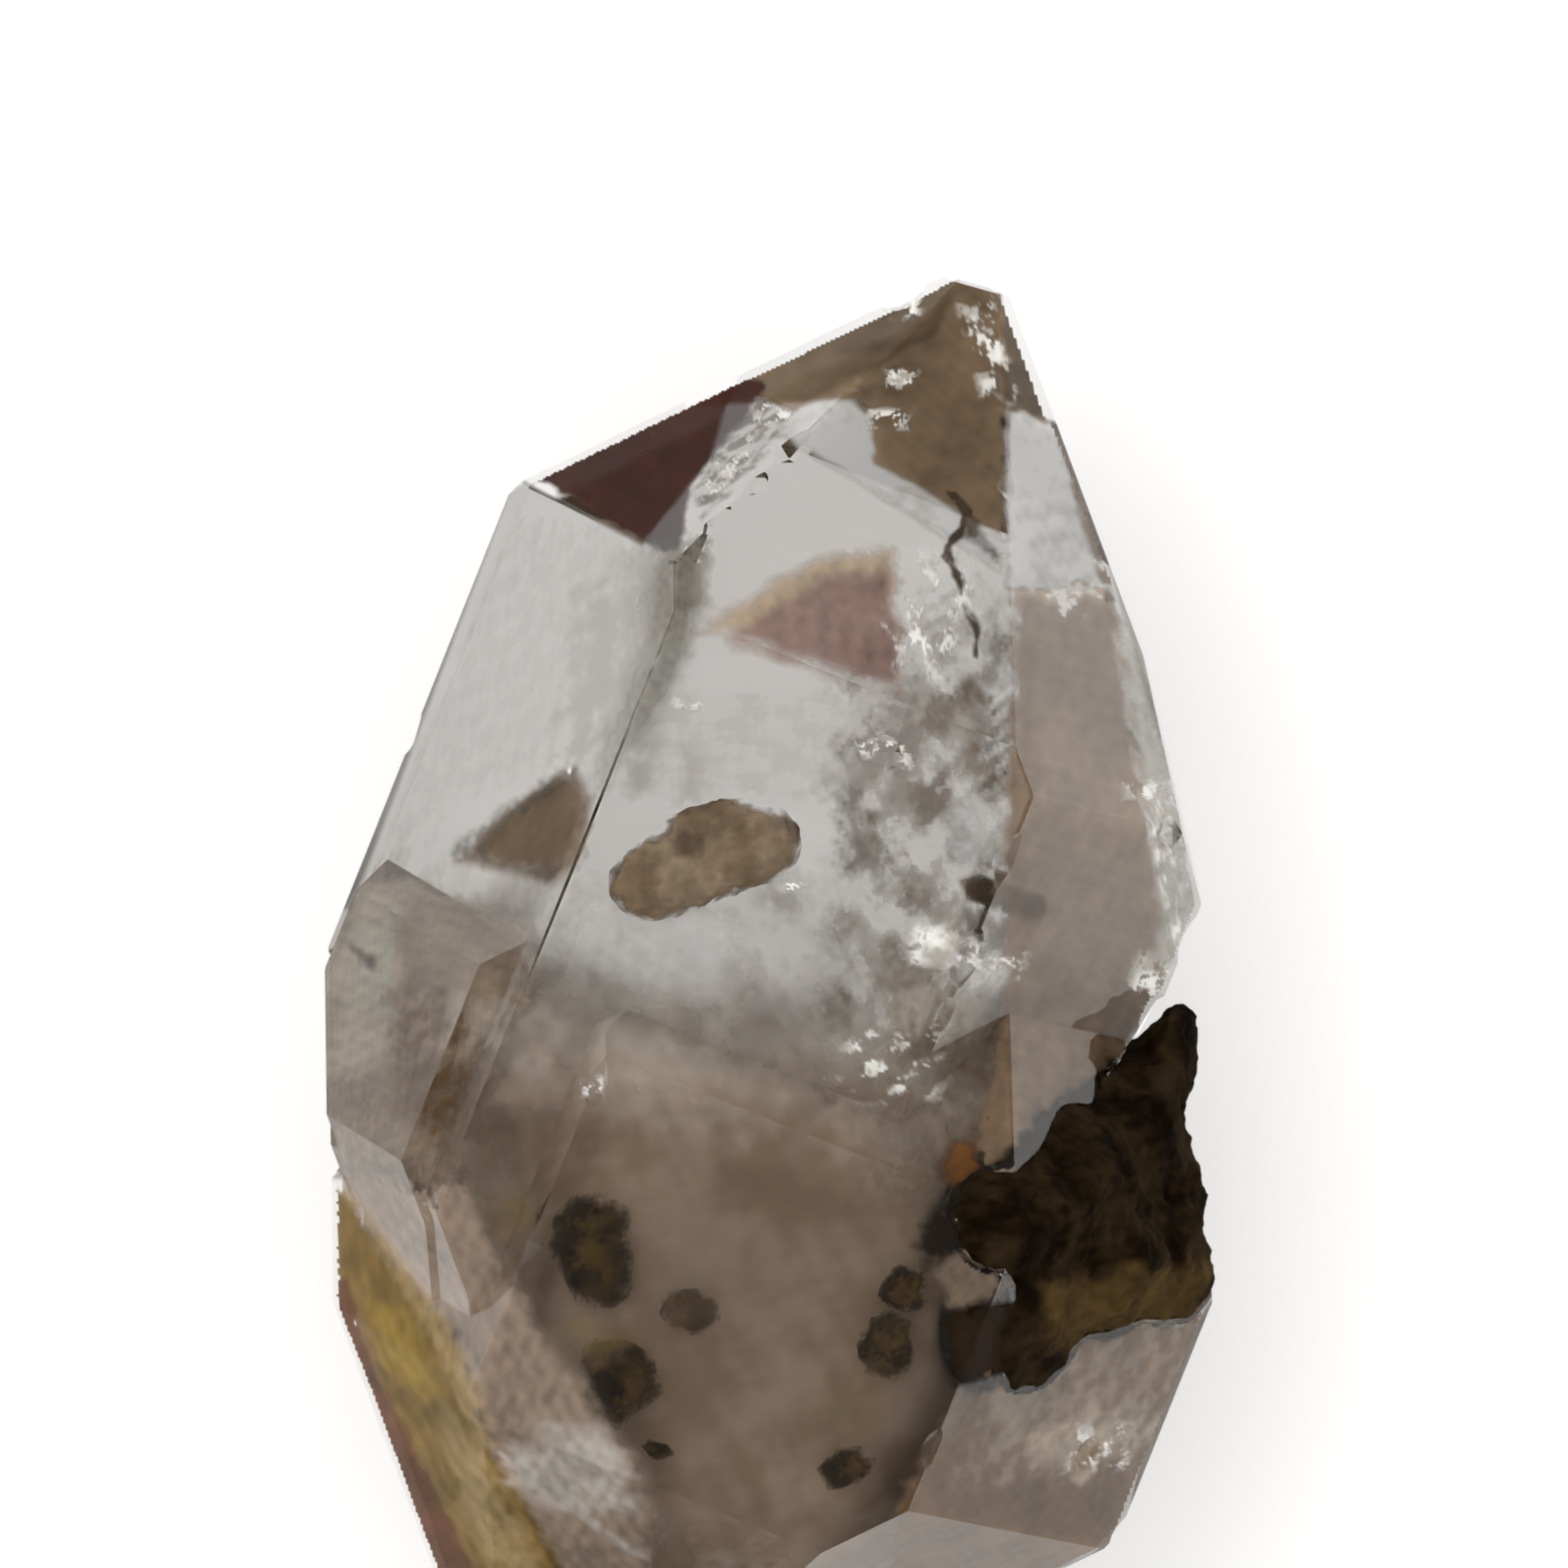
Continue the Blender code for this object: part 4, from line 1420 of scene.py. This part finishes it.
# the lower end on both sides, and the stained foot of the dark lump
LOW_VEILS = (
    Veil("low_left", ((300, 1165), (720, 1165), (720, 1610), (330, 1610)), 0.05, Milk.stained_or_lit(
        (0.4, 0.29, 0.2), (0.58, 0.47, 0.37), 2.0, 71, (0.47, 0.5),
        StainOrLight(((325, 1160), (470, 1180), (540, 1322), (616, 1424), (660, 1500), (640, 1610),
               (540, 1610), (494, 1443), (457, 1333), (402, 1266)), (0.54, 0.42, 0.325), 0.9, 26,
              8),
        StainOrLight(((300, 1185), (336, 1186), (402, 1266), (457, 1333), (494, 1443), (555, 1542),
               (600, 1620), (380, 1620), (300, 1300)), (0.215, 0.14, 0.046), 0.97, 14, 6),
        StainOrLight(((440, 1400), (476, 1440), (540, 1550), (520, 1600), (470, 1520)), (0.36, 0.27, 0.14),
              0.97, 26, 10, 0.8, 0.3),
        StainOrLight(((345, 1190), (372, 1206), (460, 1325), (500, 1440), (486, 1444), (440, 1345),
               (390, 1262)), (0.44, 0.33, 0.18), 0.97, 18, 8, 0.7, 0.4),
        StainOrLight(((368, 1300), (410, 1310), (440, 1392), (425, 1402), (388, 1372)),
              (0.28, 0.19, 0.045), 0.97, 18, 6),
        StainOrLight(((300, 1290), (346, 1280), (382, 1385), (425, 1468), (480, 1580), (430, 1620),
               (380, 1500), (300, 1330)), (0.14, 0.062, 0.032), 0.97, 10, 4),
        StainOrLight(((510, 1440), (560, 1424), (606, 1428), (640, 1500), (562, 1510), (520, 1475)),
              (0.92, 0.86, 0.78), 0.9, 30, 12, 0.9, 0.3),
        StainOrLight(((499, 1449), (503, 1445), (615, 1528), (655, 1556), (652, 1560), (608, 1533)),
              (0.86, 0.81, 0.74), 0.8, 7, 4, 1.0, 0.3),
    ), 0.02, seed=71, count=190),
    # painted reflection: the pinkish brown of the lower right facet, with pale patches by its glint
    Veil("low_right", ((900, 1230), (1235, 1230), (1200, 1610), (860, 1610)), 0.14, Milk.stained_or_lit(
        (0.33, 0.215, 0.135), (0.5, 0.38, 0.28), 1.6, 74, (0.46, 0.5),
        StainOrLight(((985, 1345), (1060, 1338), (1130, 1320), (1230, 1290), (1225, 1400), (1180, 1500),
               (1160, 1610), (880, 1610), (900, 1490), (960, 1400)), (0.26, 0.145, 0.06), 0.95, 18,
              9),
        StainOrLight(((1000, 1360), (1180, 1310), (1190, 1400), (1120, 1480), (960, 1470)),
              (0.52, 0.41, 0.31), 0.93, 40, 24, 0.8, 0.75),
        StainOrLight(oval((1090, 1438), (66, 28), -8), (0.74, 0.62, 0.48), 0.93, 34, 22, 0.9, 0.35),
        StainOrLight(oval((1010, 1402), (34, 22), -20), (0.46, 0.38, 0.29), 0.93, 26, 16, 0.9, 0.3),
        StainOrLight(oval((1140, 1500), (34, 40), -20), (0.22, 0.13, 0.075), 0.93, 36, 16, 0.8, 0.3),
        StainOrLight(((934, 1238), (990, 1250), (1000, 1286), (948, 1302)), (0.36, 0.27, 0.19), 0.85, 18,
              7),
    ), 0.02, seed=74, count=160),
    Veil("lump_skirt", ((890, 1080), (1125, 1050), (1125, 1410), (890, 1410)), 0.1, Milk.stained_or_lit(
        (0.01, 0.005, 0.002), (0.035, 0.022, 0.01), 1.4, 77, (0.46, 0.5),
        StainOrLight(oval((958, 1164), (20, 22), 20), (0.26, 0.1, 0.02), 0.9, 18, 8),
        StainOrLight(((910, 1242), (926, 1214), (985, 1170), (1045, 1106), (1120, 1058), (1130, 1280),
               (1060, 1300), (1004, 1236), (962, 1246), (924, 1260)), (0.02, 0.011, 0.005), 0.97,
              16, 8),
        StainOrLight(((942, 1312), (985, 1298), (1030, 1298), (1125, 1285), (1125, 1330), (1060, 1342),
               (1006, 1370), (976, 1388), (954, 1382), (942, 1346)), (0.02, 0.011, 0.005), 0.97, 14,
              7),
    ), 0.03, seed=77, count=130, notch_margin=-0.45),
)

# the healed crack under the tip
CRACK = Veil("long_crack", ((915, 480), (1015, 480), (1015, 680), (915, 680)), 0.12, Milk.stained_or_lit(
    (0.05, 0.03, 0.018), (0.12, 0.08, 0.05), 0.6, 35, (0.46, 0.5),
    StainOrLight(((948, 496), (956, 496), (972, 514), (966, 530), (951, 551), (951, 560), (962, 580),
           (965, 604), (980, 632), (976, 662), (972, 660), (972, 636), (959, 606), (954, 584),
           (942, 560), (945, 548), (958, 530), (961, 518)), (0.085, 0.052, 0.03), 0.95, 5, 4),
    StainOrLight(((957, 500), (985, 540), (1000, 560), (996, 566), (968, 540)), (0.16, 0.11, 0.07), 0.8,
          10, 5, 1.0, 0.5),
), 0.02, count=130)

# painted highlights, glints of broken faces: name, middle, radii, turn, size of the facets and the
# least ripple that shows
GLINTS = (
    Glint("tip_edge", (988, 352), (17, 50), -14, 0.9, -0.05),
    Glint("tip_small", (902, 381), (15, 10), 0, 0.6, 0.0),
    Glint("tip_low", (888, 422), (20, 10), 0, 0.6, 0.05),
    Glint("tip_top", (902, 300), (18, 18), 0, 0.6, 0.0),
    Glint("slope_a", (776, 420), (18, 11), 20, 0.5, 0.0),
    Glint("slope_b", (742, 462), (24, 12), -40, 0.5, 0.05),
    Glint("slope_c", (716, 490), (16, 9), -40, 0.5, 0.05),
    Glint("crack", (925, 620), (38, 58), 20, 0.8, 0.12),
    Glint("middle", (884, 752), (32, 12), 15, 0.6, 0.05),
    Glint("speck", (690, 706), (14, 5), 5, 0.5, 0.0),
    Glint("bright", (932, 944), (24, 20), 0, 1.2, -0.5),
    Glint("bright_side", (985, 958), (34, 14), 10, 0.7, 0.05),
    Glint("tuft", (790, 884), (14, 9), -20, 0.5, 0.05),
    Glint("cloud", (890, 1060), (46, 36), 0, 0.7, 0.15),
    Glint("right", (1142, 792), (20, 8), 0, 0.6, -0.1),
    Glint("right_line", (1168, 880), (11, 96), -12, 0.7, 0.0),
    Glint("notch", (1150, 988), (22, 30), 20, 0.9, 0.0),
    Glint("low_right", (1098, 1448), (30, 22), 0, 0.8, 0.1),
    Glint("low_left", (596, 1085), (10, 10), 0, 0.5, 0.05),
)


class Inclusions:
    """The sealed grains, the haze, the veils, some of them painted reflections, shade and light, the
    healed crack and the glints, which are painted highlights.
    """

    def __init__(self, groups: Groups) -> None:
        """Makes the finishes that the pieces share.

        Args:
            groups: the shared node groups.
        """
        # one finish for the haze, the veils and the crack; some veils are painted reflections, shade
        # and light
        self.milky_and_lit = PaintedFinish("milk_and_painted_light", groups).make()
        self.rocky = PaintedFinish(
            "sealed_rock", groups, scale=1800.0, depth=0.30, shine=0.06, relief=0.5
        ).make()
        # painted highlights: the glints' finish glows
        self.broken = PaintedFinish(
            "painted_glints", groups, roughness=0.5, shine=0.5, glow=0.42
        ).make()

    def build(self) -> None:
        """Builds every piece, and presses all but the grains and the lump's skirt inside."""
        for grain in GRAINS:
            grain.build(self.rocky)
        near_faces = [haze.build(self.milky_and_lit) for haze in HAZES]
        for veil in TIP_VEILS + LEFT_VEILS + MIDDLE_VEILS + LOW_VEILS:
            sheet = veil.build(self.milky_and_lit)
            if veil.notch_margin > 0.0:
                near_faces.append(sheet)
        near_faces.append(CRACK.build(self.milky_and_lit))
        for number, glint in enumerate(GLINTS):
            near_faces.append(glint.build(self.broken, 200 + 3 * number))
        press_inside(near_faces, PRESS_MM)


@dataclass(frozen=True)
class Studio:
    """A pale floor under soft light.

    bands gives the sky's colour by height, from the horizon at 0 to overhead at 1.
    """

    floor_half_mm: float = 420.0
    floor_colour: Colour = (0.90, 0.895, 0.885)
    floor_glow: float = 0.33
    sky_strength: float = 1.0
    key_strength: float = 1.5
    key_way: tuple[float, float, float] = (-0.516, 0.383, 0.767)
    key_edge: tuple[float, float] = (0.80, 0.97)
    floor_drop_mm: float = 0.03
    bounces: tuple[tuple[str, int], ...] = (
        ("max_bounces", 10),
        ("diffuse_bounces", 3),
        ("glossy_bounces", 6),
        ("transmission_bounces", 9),
        ("transparent_max_bounces", 16),
    )
    bands: tuple[tuple[float, Colour], ...] = (
        (0.0, (0.16, 0.135, 0.12)),
        (0.30, (0.34, 0.32, 0.30)),
        (0.55, (1.0, 1.0, 1.0)),
        (0.93, (1.0, 1.0, 1.0)),
        (0.985, (0.35, 0.35, 0.35)),
    )

    def floor(self) -> bpy.types.Object:
        """Makes the floor, a flat softly lit square just under the crystal, and returns it."""
        r, z = self.floor_half_mm * MM, -self.floor_drop_mm * MM
        mesh = bpy.data.meshes.new("floor")
        mesh.from_pydata([(-r, -r, z), (r, -r, z), (r, r, z), (-r, r, z)], [], [(0, 1, 2, 3)])
        material, _, paint = new_material("pale_floor")
        paint.inputs["Base Color"].default_value = (*self.floor_colour, 1.0)
        paint.inputs["Roughness"].default_value = 0.8
        paint.inputs["Specular IOR Level"].default_value = 0.1
        paint.inputs["Emission Color"].default_value = (*self.floor_colour, 1.0)
        paint.inputs["Emission Strength"].default_value = self.floor_glow
        material.cycles.emission_sampling = "NONE"
        mesh.materials.append(material)
        floor = bpy.data.objects.new("floor", mesh)
        bpy.context.scene.collection.objects.link(floor)
        return floor

    def sky(self) -> None:
        """Lights the scene all round: bright, darker overhead, and warm and dim near the horizon.

        The key light is a soft brighter patch of the sky, between the cosines key_edge of the angle
        from key_way. Light is found by following rays alone, as none can be aimed through glass.
        """
        world = bpy.data.worlds.new("studio")
        bpy.context.scene.world = world
        world.use_nodes = True
        world.node_tree.nodes.clear()
        graph = Graph(world.node_tree)
        where = graph.add("ShaderNodeTexCoord")
        split = graph.add("ShaderNodeSeparateXYZ", {"Vector": where.outputs["Generated"]})
        ramp = graph.add("ShaderNodeValToRGB", {"Fac": split.outputs["Z"]})
        stops = ramp.color_ramp.elements
        while len(stops) < len(self.bands):
            stops.new(1.0)
        for stop, (place, colour) in zip(stops, self.bands):
            stop.position, stop.color = place, (*colour, 1.0)
        near = graph.dot(where.outputs["Generated"], self.key_way)
        most = self.sky_strength + self.key_strength
        strength = graph.rise(near, *self.key_edge, self.sky_strength, most)
        light = {"Color": ramp.outputs["Color"], "Strength": strength}
        glow = graph.add("ShaderNodeBackground", light)
        graph.add("ShaderNodeOutputWorld", {"Surface": glow.outputs[0]})
        world.cycles.sampling_method = "NONE"

    def build(self) -> None:
        """Makes the floor and the sky, and sets how light is followed and turned into colours."""
        self.floor()
        self.sky()
        scene = bpy.context.scene
        scene.view_settings.view_transform = "Standard"
        for name, count in self.bounces:
            setattr(scene.cycles, name, count)


def main() -> None:
    """Builds the pieces in order."""
    groups = Groups()
    crystal = frame["nodes"]["crystal"]
    crystal.data.materials.clear()
    crystal.data.materials.append(QuartzFinish().make())
    DarkLump().build(groups)
    Inclusions(groups).build()
    Studio().build()
    PICTURE.camera()


if __name__ == "__main__":
    main()
